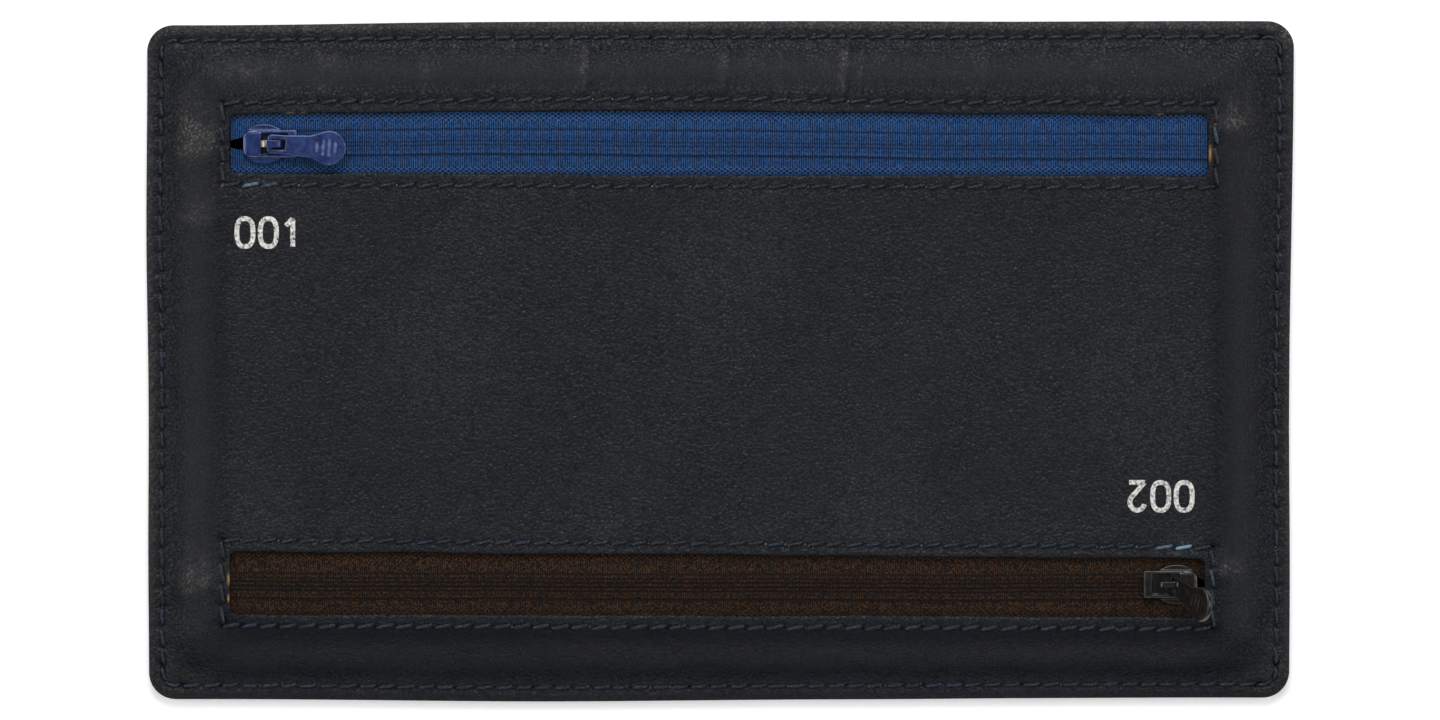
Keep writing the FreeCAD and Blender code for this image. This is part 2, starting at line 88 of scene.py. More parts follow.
class Zip:
    """Where one zip is, and how its own frame (x from its middle, slider at -x) lies."""

    def __init__(self, name):
        self.name = name
        low, high = box_mm(f"{name}_window_stitching")
        self.center = (low[:2] + high[:2]) / 2
        stitched = (high[:2] - low[:2]) / 2 - STITCH_WIDTH / 2
        self.half_stitched = stitched
        self.half_window = stitched - (WINDOW_STITCH_END, WINDOW_STITCH_SIDE)
        slider_low, slider_high = box_mm(f"{name}_slider_body")
        self.turn = 1.0 if slider_low[0] < 0 else -1.0
        ends = (np.array([slider_low[0], slider_high[0]]) - self.center[0]) * self.turn
        self.slider_front = min(ends)
        self.slider_length = max(ends) - min(ends)
        self.channel_top = box_mm(f"{name}_coil_outer")[1][2]
        joints = {j["name"]: j for j in frame["record"]["behaviour"]["joints"]}
        self.travel = joints[f"{name}_slide"]["range_m"][1] / MM
        pivot = np.array(joints[f"{name}_pull_swing"]["pos_m"]) / MM
        self.pivot_height = pivot[2]
        self.pivot_back = (pivot[0] - self.center[0]) * self.turn - self.slider_front

    def place(self, points):
        """Points in the zip's own frame, moved to the object's frame."""
        out = np.array(points, dtype=float)
        out[..., 0] = self.center[0] + self.turn * out[..., 0]
        out[..., 1] = self.center[1] + self.turn * out[..., 1]
        return out

    def local(self, thing):
        """A finished mesh's points in the zip's own frame."""
        return (points_of(thing) - (*self.center, 0)) * (self.turn, self.turn, 1)


ZIPS = [Zip("zip_1"), Zip("zip_2")]


# ---------------------------------------------------------------- numbers and shapes

def smooth(t):
    """0 below 0, 1 above 1, and an easy curve between."""
    t = np.clip(t, 0.0, 1.0)
    return t * t * (3 - 2 * t)


def rise(value, start, length):
    """0 up to start, 1 from start + length on, and an easy curve between."""
    return smooth((value - start) / length)


def between(value, start, fade_in, end, fade_out):
    """1 between start and end, easing to 0 at each of them over its fade."""
    return rise(value, start, fade_in) * (1 - rise(value, end - fade_out, fade_out))


def fall(distance, width):
    """1 at an edge and outside it, falling straight to 0 at that width inside."""
    return np.clip(1 - distance / width, 0, 1)


def bell(distance, width):
    """1 at no distance, and near 0 beyond about twice the width."""
    return np.exp(-(distance / width) ** 2)


def spot(x, y, place_x, place_y, wide, tall):
    """1 at a place, fading to 0 round it."""
    return bell(x - place_x, wide) * bell(y - place_y, tall)


def beat_of(along, step):
    """1 at each whole step along, and 0 halfway between."""
    return 0.5 + 0.5 * np.cos(2 * math.pi * along / step)


def ripple(x, y, seed, length, count=7):
    """Soft random waves of about that length, mostly between -1 and 1."""
    rng = np.random.default_rng(seed)
    total = 0.0
    for _ in range(count):
        heading, phase = rng.uniform(0, 2 * math.pi, 2)
        turns = 2 * math.pi / (length * rng.uniform(0.65, 1.6))
        total = total + np.sin(turns * (x * math.cos(heading) + y * math.sin(heading)) + phase)
    return total / (0.8 * count ** 0.5) / 1.6


def box_gap(x, y, half_x, half_y):
    """Distance outside a rectangle about the origin, negative inside it."""
    over_x, over_y = np.abs(x) - half_x, np.abs(y) - half_y
    outside = np.hypot(np.maximum(over_x, 0), np.maximum(over_y, 0))
    return outside + np.minimum(np.maximum(over_x, over_y), 0)


def inset_of(x, y):
    """How far inside the outline a point is."""
    return CORNER - box_gap(x, y, HALF_X - CORNER, HALF_Y - CORNER)


def window_gap(x, y, zip_):
    """Distance outside a zip's window, negative inside it."""
    return box_gap(x - zip_.center[0], y - zip_.center[1], *zip_.half_window)


def round_corners(x, y, half_x=HALF_X, half_y=HALF_Y, radius=CORNER):
    """Bend a rectangular grid's corners into quarter circles."""
    a = np.clip((np.abs(x) - (half_x - radius)) / radius, 0, 1)
    b = np.clip((np.abs(y) - (half_y - radius)) / radius, 0, 1)
    new_x = np.where(a > 0, np.sign(x) * (half_x - radius + radius * a * np.sqrt(1 - b * b / 2)), x)
    new_y = np.where(b > 0, np.sign(y) * (half_y - radius + radius * b * np.sqrt(1 - a * a / 2)), y)
    return new_x, new_y


OUTLINE_DRIFT = {  # how each side strays: a shift, then (amount, start, length) of a slow change,
    # (amount, place, half width) of a bow, and (amount, length, phase) of a ripple
    "top": (-0.44, (0.68, -100, 85), (0, 0, 1), (0.05, 11.0, 0)),
    "bottom": (-0.08, (0.15, 25, 30), (-0.45, -30, 50), (0.05, 13.0, 1)),
    "right": (0.05, (0.75, 2, 45), (0, 0, 1), (0.06, 8.0, 0)),
    "left": (-0.02, (-0.34, -25, 50), (0, 0, 1), (0.08, 9.0, 2)),
}
DRIFT_REACH = 13.0
TOP_SEAM_DRAWN = 0.42
TOP_SEAM_WIDTH = 1.7


def drift_of(side, along):
    """How far one side of the outline strays along +X or +Y, at places along it."""
    shift, slow, bow, wave = OUTLINE_DRIFT[side]
    level = shift + slow[0] * rise(along, *slow[1:]) + bow[0] * bell(along - bow[1], bow[2])
    return level + wave[0] * np.sin(along / wave[1] + wave[2])


def hand_cut(x, y):
    """The outline isn't quite true: its edges drift a little, and the middle doesn't."""
    inset = inset_of(x, y)
    near = 1 - smooth(inset / DRIFT_REACH)
    drift_x = np.where(x > 0, drift_of("right", y), drift_of("left", y))
    drift_y = np.where(y > 0, drift_of("top", x), drift_of("bottom", x))
    seam = TOP_SEAM_DRAWN * bell(inset - EDGE_STITCH, TOP_SEAM_WIDTH) * rise(y, 35, 18)
    new_x = x + near * drift_x * smooth(2 * np.abs(x) / HALF_X)
    return new_x, y + near * drift_y * smooth(2 * np.abs(y) / HALF_Y) - seam


def stitch_runs(center, half):
    """The four sides of a stitched rectangle: along X or Y, its line, and its steps."""
    runs = []
    for axis in (0, 1):
        length = 2 * half[axis]
        count = int(round(length / STITCH_PITCH))
        for side in (-1, 1):
            line = center[1 - axis] + side * half[1 - axis]
            runs.append((axis, line, center[axis] - half[axis], count, length / count))
    return runs


EDGE_RUNS = stitch_runs((0, 0), (HALF_X - EDGE_STITCH, HALF_Y - EDGE_STITCH))
WINDOW_RUNS = [stitch_runs(z.center, z.half_stitched) for z in ZIPS]
FRONT_ROWS = [  # each row of stitches in the front, its seed, and how hard it pulls
    (EDGE_RUNS, 21, 1.0), (WINDOW_RUNS[0], 22, 0.8), (WINDOW_RUNS[1], 23, 0.8),
]
BACK_SEED = 31
GROOVE = (0.07, 0.5)  # depth and half width of the groove along a row of stitches
DIMPLE = (0.32, 1.15)  # and of the dip round each hole in it
HOLE_WIDTH = 0.48
RUN_FADE = 1.2


def pinch(x, y, runs, seed):
    """How far thread pulls the leather down: a groove along it, deeper at each hole."""
    depth = np.zeros(np.shape(x))
    holes = np.zeros(np.shape(x))
    for number, (axis, line, start, count, step) in enumerate(runs):
        along, across = (x, y) if axis == 0 else (y, x)
        off = straight_off = np.abs(across - line)
        if runs is EDGE_RUNS:
            off = np.where(off < CORNER, np.abs(inset_of(x, y) - EDGE_STITCH), off)
        inside = between(along, start - RUN_FADE, RUN_FADE, start + count * step + RUN_FADE, RUN_FADE)
        beat = beat_of(along - start, step)
        uneven = 1 + 0.35 * ripple(along, 0 * along + number * 50, seed, 11)
        pull = GROOVE[0] * bell(off, GROOVE[1]) + DIMPLE[0] * beat ** 6 * bell(off, DIMPLE[1])
        depth += inside * uneven * pull
        # the needle holes, which get painted shade and, in places, specks of tan core
        holes += inside * beat ** 7 * bell(straight_off, HOLE_WIDTH)
    holes *= rise(inset_of(x, y), 1.7, 0.4)
    return depth, np.clip(holes, 0, 1)


CORNER_EASE = 3.2


def slope_place(x, y):
    """Inset from the outline, with its corners eased for the slope up to the middle."""
    from_x, from_y = HALF_X - np.abs(x), HALF_Y - np.abs(y)
    eased = -CORNER_EASE * np.log(np.exp(-from_x / CORNER_EASE) + np.exp(-from_y / CORNER_EASE))
    return np.minimum(eased, inset_of(x, y))


WINDOW_SET = {  # how far sewing has moved each window's ends, and the shift, lean and bow of its
    # top and bottom edges
    "zip_1": {"left": 0.35, "right": -0.85, "top": (-0.35, 0.0, 0.8), "bottom": (0.05, -0.22, 0.0)},
    "zip_2": {"left": 0.50, "right": -0.40, "top": (-0.15, -0.6, 0.0), "bottom": (-0.20, -0.25, 0.0)},
}
LEAN_LENGTH = 80.0
BOW_PLACE, BOW_WIDTH = -14.0, 46.0
SEWN_START, SEWN_FADE = 2.5, 8.0
END_REACH = 7.0
CORNER_DRAWN = (0.26, 0.7)  # depth and half width of a window corner's rounding
EDGE_WAVE = (0.14, 1.6, 26)  # height, half width and length of the waves along a window's edge


def edge_shift(setting, x):
    """How far sewing has moved a window's top or bottom edge, at places along it."""
    shift, lean, bow = setting
    return shift + lean * x / LEAN_LENGTH + bow * bell(x - BOW_PLACE, BOW_WIDTH)


def sewn_shift(x, y):
    """How far a place on the pattern is moved: window edges drawn aside, corners rounded."""
    shift_x, shift_y = 0.0, 0.0
    for number, zip_ in enumerate(ZIPS):
        off_x, off_y = x - zip_.center[0], y - zip_.center[1]
        past_x, past_y = np.abs(off_x) - zip_.half_window[0], np.abs(off_y) - zip_.half_window[1]
        gap = window_gap(x, y, zip_)
        moved = WINDOW_SET[zip_.name]
        near = 1 - rise(gap, SEWN_START, SEWN_FADE)
        upper = smooth(off_y / (2 * zip_.half_window[1]) + 0.5)
        edges = [edge_shift(moved[side], x) for side in ("bottom", "top")]
        end_shift = np.where(off_x > 0, moved["right"], moved["left"])
        shift_x = shift_x + near * smooth(past_x / END_REACH + 1) * end_shift
        shift_y = shift_y + near * (edges[0] + (edges[1] - edges[0]) * upper)
        corner = CORNER_DRAWN[0] * bell(np.hypot(past_x, past_y), CORNER_DRAWN[1])
        height, wide, length = EDGE_WAVE
        wave = height * bell(gap, wide) * smooth(past_y + 1.5)
        wave = wave * ripple(x, np.sign(off_y) * 40.0, 71 + number, length)
        shift_x = shift_x - np.sign(off_x) * corner
        shift_y = shift_y - np.sign(off_y) * corner + wave
    return shift_x, shift_y


def sewn(x, y):
    """Where cutting and sewing by hand have put a place on the flat pattern."""
    shift_x, shift_y = sewn_shift(x, y)
    cut_x, cut_y = hand_cut(x, y)
    return cut_x + shift_x, cut_y + shift_y


def unsewn(x, y):
    """The place on the flat pattern that sewing put here."""
    flat_x, flat_y = x, y
    for _ in range(4):
        now_x, now_y = sewn(flat_x, flat_y)
        flat_x, flat_y = flat_x + x - now_x, flat_y + y - now_y
    return flat_x, flat_y


SLOPE_START = 3.0
SLOPE_LENGTH = 10.5


def crown_level(x, y):
    """Top of the front panel before its small details: seam, soft slope, raised middle."""
    return SEAM_TOP + (LEATHER_TOP - SEAM_TOP) * rise(slope_place(x, y), SLOPE_START, SLOPE_LENGTH)


WRINKLES = [  # x, width and height of the folds between the top seam and zip 1
    (-24.0, 0.9, 0.42), (1.0, 0.8, 0.36), (22.6, 0.7, 0.46), (25.4, 0.6, 0.34),
    (-52.0, 1.3, 0.18), (47.0, 1.2, 0.18), (-70.0, 1.5, 0.20), (68.0, 1.0, 0.16),
]
SWELLS = [  # x, y, half width, half height and rise of the bulges beside the windows
    (-93.5, 39.0, 3.8, 4.2, 1.0), (-93.5, -40.0, 4.0, 3.0, 0.6), (-92.5, 26.0, 4.0, 3.0, 0.4),
    (91.5, -37.0, 2.8, 2.4, 0.7), (92.3, 42.6, 2.6, 3.0, 0.8), (-85.0, 52.0, 7.0, 2.8, 0.2),
]
BARE_SPOTS = [  # x, y, half width and half height of rubbed places
    (88.95, 37.3, 0.20, 1.2), (-88.45, -39.5, 0.18, 0.8), (-88.45, -42.8, 0.16, 0.5),
    (-77.0, 44.35, 0.8, 0.14), (-74.6, 44.35, 0.5, 0.11), (79.0, 44.4, 0.5, 0.08),
]
GLINTS = [  # x, y, half width and half height of painted highlights (glints)
    (82.5, -33.0, 3.4, 1.3), (-82.3, 31.7, 3.0, 0.5),
]
GLINT_ON_THREAD = 2.4
GLINT_ON_LEATHER = 0.6
WRINKLE_LEAN = 0.06
WRINKLE_MIDDLE = 52.0
WAVES = [  # where each set of waves in the front's leather is, its height, seed and length
    ("slope", 0.16, 5, 9), ("slope", 0.10, 6, 4.5), ("middle", 0.22, 7, 46), ("inside", 0.03, 8, 7),
]
SAG = 0.30
RIM_WIDTH = 1.5  # the front's edge is rolled over this width, and this far down
RIM_DROP = 0.62
# painted highlight along the rolled rim, brighter towards the top
RIM_PAINTED_HIGHLIGHT = 0.62
LIP_WIDTH, LIP_DROP = 0.4, 0.24  # the same at a window's edge
PAINTED_HIGHLIGHT_CORNER = (100.6, 58.6, 2.2)  # x, y and half width of a painted highlight at a corner of the rim
DULL_LINES = [(11.5, 2.4, 0.55), (4.4, 1.2, 0.25)]  # inset, half width and depth of dull lines
DULL_ENDS = 0.17


def wrinkle_off(x, y, place):
    """Distance along X from a wrinkle, which leans a little."""
    return x - place - WRINKLE_LEAN * (y - WRINKLE_MIDDLE)


def glint_of(x, y):
    """How much a place is in one of the painted highlights (glints)."""
    return sum(spot(x, y, *place) for place in GLINTS)


def painted_highlight_and_dull_of(x, y):
    """Painted highlights that lighten the grain, and below 0 where it stays dull with less specular."""
    # Painted highlights: on the swells' upper sides, along the wrinkles, on the slope and the rolled rim
    # brighter towards the top, at a corner, at the glints and at the puckers under the top seam. Soft
    # random patches add to them, and dull lines only take specular away.
    inset = inset_of(x, y)
    painted_highlight = np.zeros(np.shape(x))
    for place_x, place_y, wide, tall, height in SWELLS:
        drop = np.where(y < place_y, 0.55, 1.3)
        painted_highlight += min(1.35, 1.5 * height) * spot(x, y, place_x, place_y, 0.85 * wide, drop * tall)
    band = between(y, 46.5, 3, 58.0, 4)
    for place, width, height in WRINKLES:
        painted_highlight += 1.3 * height * band * bell(wrinkle_off(x, y, place) + 0.4 * width, 1.1 * width)
    painted_highlight += 0.09 * between(inset, 3, 3, 14, 5) * rise(y, -20, 60)
    painted_highlight += 0.10 * np.clip(ripple(x, y, 81, 42), 0, 1)
    painted_highlight += RIM_PAINTED_HIGHLIGHT * fall(inset, RIM_WIDTH) * rise(y, -50, 22) * np.where(x > HALF_X - 8, 0.6, 1.0)
    corner_x, corner_y, wide = PAINTED_HIGHLIGHT_CORNER
    painted_highlight += 0.5 * bell(np.hypot(x - corner_x, y - corner_y), wide) + GLINT_ON_LEATHER * glint_of(x, y)
    _, _, start, _, step = EDGE_RUNS[1]
    puckers = beat_of(x - start, step) ** 8 * bell(inset - 4.3, 1.1) * rise(y, 40, 10)
    painted_highlight += 0.5 * puckers * (0.6 + 0.6 * ripple(x, y, 83, 9))
    painted_highlight *= 0.75 + 0.4 * ripple(x, y, 82, 3.4)
    place = slope_place(x, y)
    foot, seam = [depth * bell(place - line, wide) for line, wide, depth in DULL_LINES]
    ends = DULL_ENDS * rise(np.abs(x), 88, 5) / DULL_LINES[0][2]
    return np.clip(painted_highlight - (1 - ends) * foot - seam, -1, 1)


def bare_of(x, y):
    """Where the leather's dye has rubbed off a window's edge and its tan core shows."""
    return np.clip(1.25 * sum(spot(x, y, *place) for place in BARE_SPOTS), 0, 1)


def front_level(x, y):
    """Top of the front panel with puckers, wrinkles and a slight sag, and its holes."""
    inset = inset_of(x, y)
    zones = {"slope": bell(inset - 7.0, 4.5), "middle": rise(inset, 24, 14), "inside": rise(inset, 12, 6)}
    level = crown_level(x, y) - SAG * zones["middle"]
    for zone, height, seed, length in WAVES:
        level = level + height * zones[zone] * ripple(x, y, seed, length)
    band = between(y, 45.8, 2.5, 58.6, 3.0)
    for place, width, height in WRINKLES:
        off = wrinkle_off(x, y, place)
        level = level + height * band * (bell(off, width) - 0.6 * bell(off - 1.8 * width, width))
    for zip_ in ZIPS:
        off_x, off_y = np.abs(x - zip_.center[0]), y - zip_.center[1]
        beside = spot(off_x, off_y, zip_.half_window[0] + 3.2, 0, 2.4, 9)
        level = level + 0.13 * beside * ripple(x, y, 9, 3.8)
        level = level - LIP_DROP * fall(window_gap(x, y, zip_), LIP_WIDTH) ** 2
    for *place, height in SWELLS:
        level = level + height * spot(x, y, *place)
    level = level - RIM_DROP * fall(inset, RIM_WIDTH) ** 2
    holes = np.zeros(np.shape(x))
    for runs, seed, pull in FRONT_ROWS:
        depth, row_holes = pinch(x, y, runs, seed)
        level = level - pull * depth
        holes = np.maximum(holes, row_holes)
    return level, holes


# ---------------------------------------------------------------- mesh building

def make_object(name, vertices, faces, materials, slots=None):
    """A mesh object from millimetre points. slots gives each face's material."""
    mesh = bpy.data.meshes.new(name)
    mesh.from_pydata((np.asarray(vertices, dtype=float) * MM).tolist(), [], faces)
    for paint in materials:
        mesh.materials.append(paint)
    if slots is not None:
        mesh.polygons.foreach_set("material_index", np.asarray(slots, dtype=np.int32))
    mesh.polygons.foreach_set("use_smooth", [True] * len(mesh.polygons))
    mesh.validate()
    mesh.update()
    thing = bpy.data.objects.new(name, mesh)
    bpy.context.scene.collection.objects.link(thing)
    return thing


def grid_lines(low, high, spacing, extra=()):
    """Grid lines from low to high, about spacing apart, with one at each of extra."""
    stops = sorted({round(v, 4) for v in [low, high, *extra] if low <= v <= high})
    lines = [stops[0]]
    for start, end in zip(stops, stops[1:]):
        place = start
        while end - place > 1.5 * spacing:
            place += spacing
            lines.append(place)
        lines.append(end)
    return np.array(lines)


def shell(name, xs, ys, surface, under, materials, cut=None):
    """A closed sheet over a grid. surface and under give its two faces' points, cut tells where it
    has a hole, and the last of the materials is for its edges."""
    grid_x, grid_y = np.meshgrid(xs, ys, indexing="ij")
    top, bottom = surface(grid_x, grid_y), under(grid_x, grid_y)
    rows, columns = grid_x.shape
    keep = np.ones((rows - 1, columns - 1), dtype=bool)
    if cut is not None:
        mid_x = (grid_x[:-1, :-1] + grid_x[1:, 1:]) / 2
        mid_y = (grid_y[:-1, :-1] + grid_y[1:, 1:]) / 2
        keep &= ~cut(mid_x, mid_y)
    index = np.arange(rows * columns).reshape(rows, columns)
    low = index + rows * columns
    a, b = index[:-1, :-1], index[1:, :-1]
    c, d = index[1:, 1:], index[:-1, 1:]
    faces = [np.stack([a[keep], b[keep], c[keep], d[keep]], axis=1)]
    faces.append(np.stack([d[keep], c[keep], b[keep], a[keep]], axis=1) + rows * columns)
    flat_count = sum(len(f) for f in faces)
    framed = np.pad(keep, 1)
    for over, up, first, second in ((1, 0, a, b), (2, 1, b, c), (1, 2, c, d), (0, 1, d, a)):
        side = keep & ~framed[over:over + rows - 1, up:up + columns - 1]
        f, s = first[side], second[side]
        faces.append(np.stack([f, low.ravel()[f], low.ravel()[s], s], axis=1))
    faces = np.concatenate(faces)
    used, flat = np.unique(faces, return_inverse=True)
    points = np.concatenate([top.reshape(-1, 3), bottom.reshape(-1, 3)])[used]
    slots = np.zeros(len(faces), dtype=np.int32)
    slots[flat_count:] = len(materials) - 1
    thing = make_object(name, points, flat.reshape(faces.shape).tolist(), materials, slots)
    thing.data.set_sharp_from_angle(angle=math.radians(50))
    return thing


def add_values(thing, name, values):
    """Store a number on each vertex, for a material to read."""
    layer = thing.data.attributes.new(name, "FLOAT", "POINT")
    layer.data.foreach_set("value", np.asarray(values, dtype=np.float32))


def tube(points, radii, sides, reference):
    """Vertices and faces of a round tube along points, with closed ends."""
    points = np.asarray(points, dtype=float)
    count = len(points)
    radii = np.broadcast_to(radii, (count,))
    tangent = np.gradient(points, axis=0)
    tangent /= np.linalg.norm(tangent, axis=1, keepdims=True)
    side = np.cross(tangent, reference)
    side /= np.linalg.norm(side, axis=1, keepdims=True)
    up = np.cross(side, tangent)
    angles = np.arange(sides) * 2 * math.pi / sides
    ring = side[:, None, :] * np.cos(angles)[None, :, None] + up[:, None, :] * np.sin(angles)[None, :, None]
    vertices = (points[:, None, :] + ring * radii[:, None, None]).reshape(-1, 3)
    i, j = np.meshgrid(np.arange(count - 1), np.arange(sides), indexing="ij")
    around = (j + 1) % sides
    corners = [i * sides + j, i * sides + around, (i + 1) * sides + around, (i + 1) * sides + j]
    faces = np.stack(corners, axis=-1).reshape(-1, 4).tolist()
    faces.append(list(range(sides))[::-1])
    faces.append([(count - 1) * sides + k for k in range(sides)])
    return vertices, faces


def join_parts(parts):
    """Several (vertices, faces) parts as one."""
    vertices, faces, base = [], [], 0
    for points, polygons in parts:
        vertices.append(points)
        faces.extend([[v + base for v in polygon] for polygon in polygons])
        base += len(points)
    return np.concatenate(vertices), faces


def prism(outline, low, high):
    """An upright block over an outline given counter-clockwise, as (vertices, faces)."""
    outline = np.asarray(outline, dtype=float)
    count = len(outline)
    vertices = np.concatenate([np.column_stack([outline, np.full(count, level)]) for level in (low, high)])
    faces = [list(range(count))[::-1], [count + i for i in range(count)]]
    faces += [[i, (i + 1) % count, count + (i + 1) % count, count + i] for i in range(count)]
    return vertices, faces


def apply_modifiers(thing):
    """Make the modifiers' result the mesh itself."""
    graph = bpy.context.evaluated_depsgraph_get()
    finished = bpy.data.meshes.new_from_object(thing.evaluated_get(graph))
    thing.modifiers.clear()
    thing.data = finished


def soften(thing, width, segments=3, angle=35):
    """Round an object's hard edges."""
    bevel = thing.modifiers.new("round", "BEVEL")
    bevel.width = width * MM
    bevel.segments = segments
    bevel.limit_method = "ANGLE"
    bevel.angle_limit = math.radians(angle)
    apply_modifiers(thing)
    thing.data.set_sharp_from_angle(angle=math.radians(60))


def cast_smooth(thing, voxel, rounds, keep):
    """Turn overlapping blocks into one casting with soft edges."""
    remesh = thing.modifiers.new("cast", "REMESH")
    remesh.mode = "VOXEL"
    remesh.voxel_size = voxel * MM
    remesh.use_smooth_shade = True
    relax = thing.modifiers.new("relax", "SMOOTH")
    relax.factor = 0.5
    relax.iterations = rounds
    fewer = thing.modifiers.new("fewer", "DECIMATE")
    fewer.ratio = keep
    apply_modifiers(thing)
    thing.data.polygons.foreach_set("use_smooth", [True] * len(thing.data.polygons))


# ---------------------------------------------------------------- materials

def tint(red, green, blue):
    """A screen colour, 0 to 255, as the linear colour that shaders take."""
    values = [v / 255 for v in (red, green, blue)]
    return tuple(v / 12.92 if v <= 0.04045 else ((v + 0.055) / 1.055) ** 2.4 for v in values) + (1.0,)


class Paint:
    """A material whose node tree is added to a node at a time."""

    def __init__(self, name, **sockets):
        self.material = bpy.data.materials.new(name)
        self.material.use_nodes = True
        self.tree = self.material.node_tree
        self.shader = self.tree.nodes["Principled BSDF"]
        self.point = self.add("ShaderNodeTexCoord").outputs["Object"]
        for socket, value in sockets.items():
            self.set(socket.replace("_", " "), value)

    def set(self, socket, value):
        self.feed(self.shader.inputs[socket], value)

    def feed(self, socket, value):
        if isinstance(value, bpy.types.NodeSocket):
            self.tree.links.new(value, socket)
        else:
            socket.default_value = value

    def add(self, kind, **settings):
        node = self.tree.nodes.new(kind)
        for name, value in settings.items():
            setattr(node, name, value)
        return node

    def stretched(self, x, y, z, turn=0.0):
        """The point with its axes stretched, for grain that runs one way."""
        node = self.add("ShaderNodeMapping")
        self.feed(node.inputs["Vector"], self.point)
        node.inputs["Scale"].default_value = (x, y, z)
        node.inputs["Rotation"].default_value = (0, 0, turn)
        return node.outputs["Vector"]

    def noise(self, size, detail=2.0, rough=0.5, point=None):
        """Noise with blobs of about that many millimetres."""
        node = self.add("ShaderNodeTexNoise")
        self.feed(node.inputs["Vector"], point or self.point)
        node.inputs["Scale"].default_value = 1 / (size * MM)
        node.inputs["Detail"].default_value = detail
        node.inputs["Roughness"].default_value = rough
        return node.outputs["Fac"]

    def cells(self, size, feature="F1"):
        """Distance pattern of cells about that many millimetres across."""
        node = self.add("ShaderNodeTexVoronoi", feature=feature)
        self.feed(node.inputs["Vector"], self.point)
        node.inputs["Scale"].default_value = 1 / (size * MM)
        return node.outputs["Distance"]

    def bands(self, size, axis="X", bend=0.0, point=None):
        """Even ribs that repeat every so many millimetres across that axis."""
        node = self.add("ShaderNodeTexWave", bands_direction=axis)
        self.feed(node.inputs["Vector"], point or self.point)
        node.inputs["Scale"].default_value = math.pi / 10 / (size * MM)
        node.inputs["Distortion"].default_value = bend
        node.inputs["Detail Scale"].default_value = 1.5
        return node.outputs["Fac"]

    def value(self, name):
        """A number stored on the mesh."""
        return self.add("ShaderNodeAttribute", attribute_name=name).outputs["Fac"]

    def math(self, operation, a, b=0.0, clamp=False):
        node = self.add("ShaderNodeMath", operation=operation, use_clamp=clamp)
        self.feed(node.inputs[0], a)
        self.feed(node.inputs[1], b)
        return node.outputs["Value"]

    def remap(self, value, low, high, to_low=0.0, to_high=1.0):
        node = self.add("ShaderNodeMapRange")
        self.feed(node.inputs["Value"], value)
        numbers = {"From Min": low, "From Max": high, "To Min": to_low, "To Max": to_high}
        for name, number in numbers.items():
            node.inputs[name].default_value = number
        return node.outputs["Result"]

    def mix(self, factor, first, second):
        node = self.add("ShaderNodeMix", data_type="RGBA")
        self.feed(node.inputs["Factor"], factor)
        self.feed(node.inputs["A"], first)
        self.feed(node.inputs["B"], second)
        return node.outputs["Result"]

    def bump(self, height, depth, strength=1.0):
        """Relief of that many millimetres, added to what was bumped before."""
        node = self.add("ShaderNodeBump")
        node.inputs["Strength"].default_value = strength
        node.inputs["Distance"].default_value = depth * MM
        self.feed(node.inputs["Height"], height)
        normal = self.shader.inputs["Normal"]
        if normal.links:
            self.feed(node.inputs["Normal"], normal.links[0].from_socket)
        self.feed(normal, node.outputs["Normal"])


def leather_paint():
    """Full-grain leather dyed a navy that is nearly black: fine pebbles and creases, uneven dye,
    painted highlights on the pebbles' tops, and needle holes in painted shade with specks of tan core."""
    paint = Paint("leather_grain", IOR=1.45)
    pebbles = paint.cells(0.52, "SMOOTH_F1")
    creases = paint.cells(0.85, "DISTANCE_TO_EDGE")
    fine = paint.noise(0.22, 3, 0.6)
    cloud = paint.noise(21, 3, 0.6)
    patch = paint.noise(4.2, 3, 0.6)
    base = paint.mix(paint.remap(cloud, 0.32, 0.68), tint(14, 17, 24), tint(20, 23, 30))
    base = paint.mix(paint.remap(patch, 0.45, 0.75, 0.0, 0.5), base, tint(27, 29, 34))
    base = paint.mix(paint.remap(pebbles, 0.30, 0.62, 0.0, 0.6), base, tint(11, 12, 15))
    base = paint.mix(paint.remap(creases, 0.0, 0.06, 0.5, 0.0), base, tint(9, 10, 12))
    # painted highlight: pebble tops lightened where the stored highlight value is above 0
    lit = paint.math("MULTIPLY", paint.value("painted_highlight_and_dull"), paint.remap(pebbles, 0.42, 0.14, 0.10, 0.85))
    base = paint.mix(lit, base, tint(112, 110, 106))
    # painted shade in and round the needle holes, and tan core in some of them
    hole_shade_and_core = paint.value("hole_shade_and_core")
    base = paint.mix(paint.remap(hole_shade_and_core, 0.10, 0.55), base, tint(3, 3, 5))
    bare = paint.math("MULTIPLY", paint.remap(hole_shade_and_core, 0.62, 0.85),
                      paint.remap(paint.noise(1.9, 1), 0.54, 0.60))
    base = paint.mix(bare, base, tint(132, 104, 74))
    paint.set("Base Color", paint.mix(paint.value("bare"), base, tint(156, 118, 70)))
    paint.set("Specular IOR Level", paint.remap(paint.value("painted_highlight_and_dull"), -1.0, 0.0, 0.03, 0.27))
    paint.set("Roughness", paint.remap(paint.math("ADD", fine, patch), 0.6, 1.4, 0.31, 0.47))
    paint.bump(cloud, 0.25, 0.6)
    paint.bump(pebbles, -0.19, 1.0)
    paint.bump(paint.remap(creases, 0.0, 0.10), 0.055, 0.9)
    paint.bump(fine, 0.035, 0.8)
    return paint.material


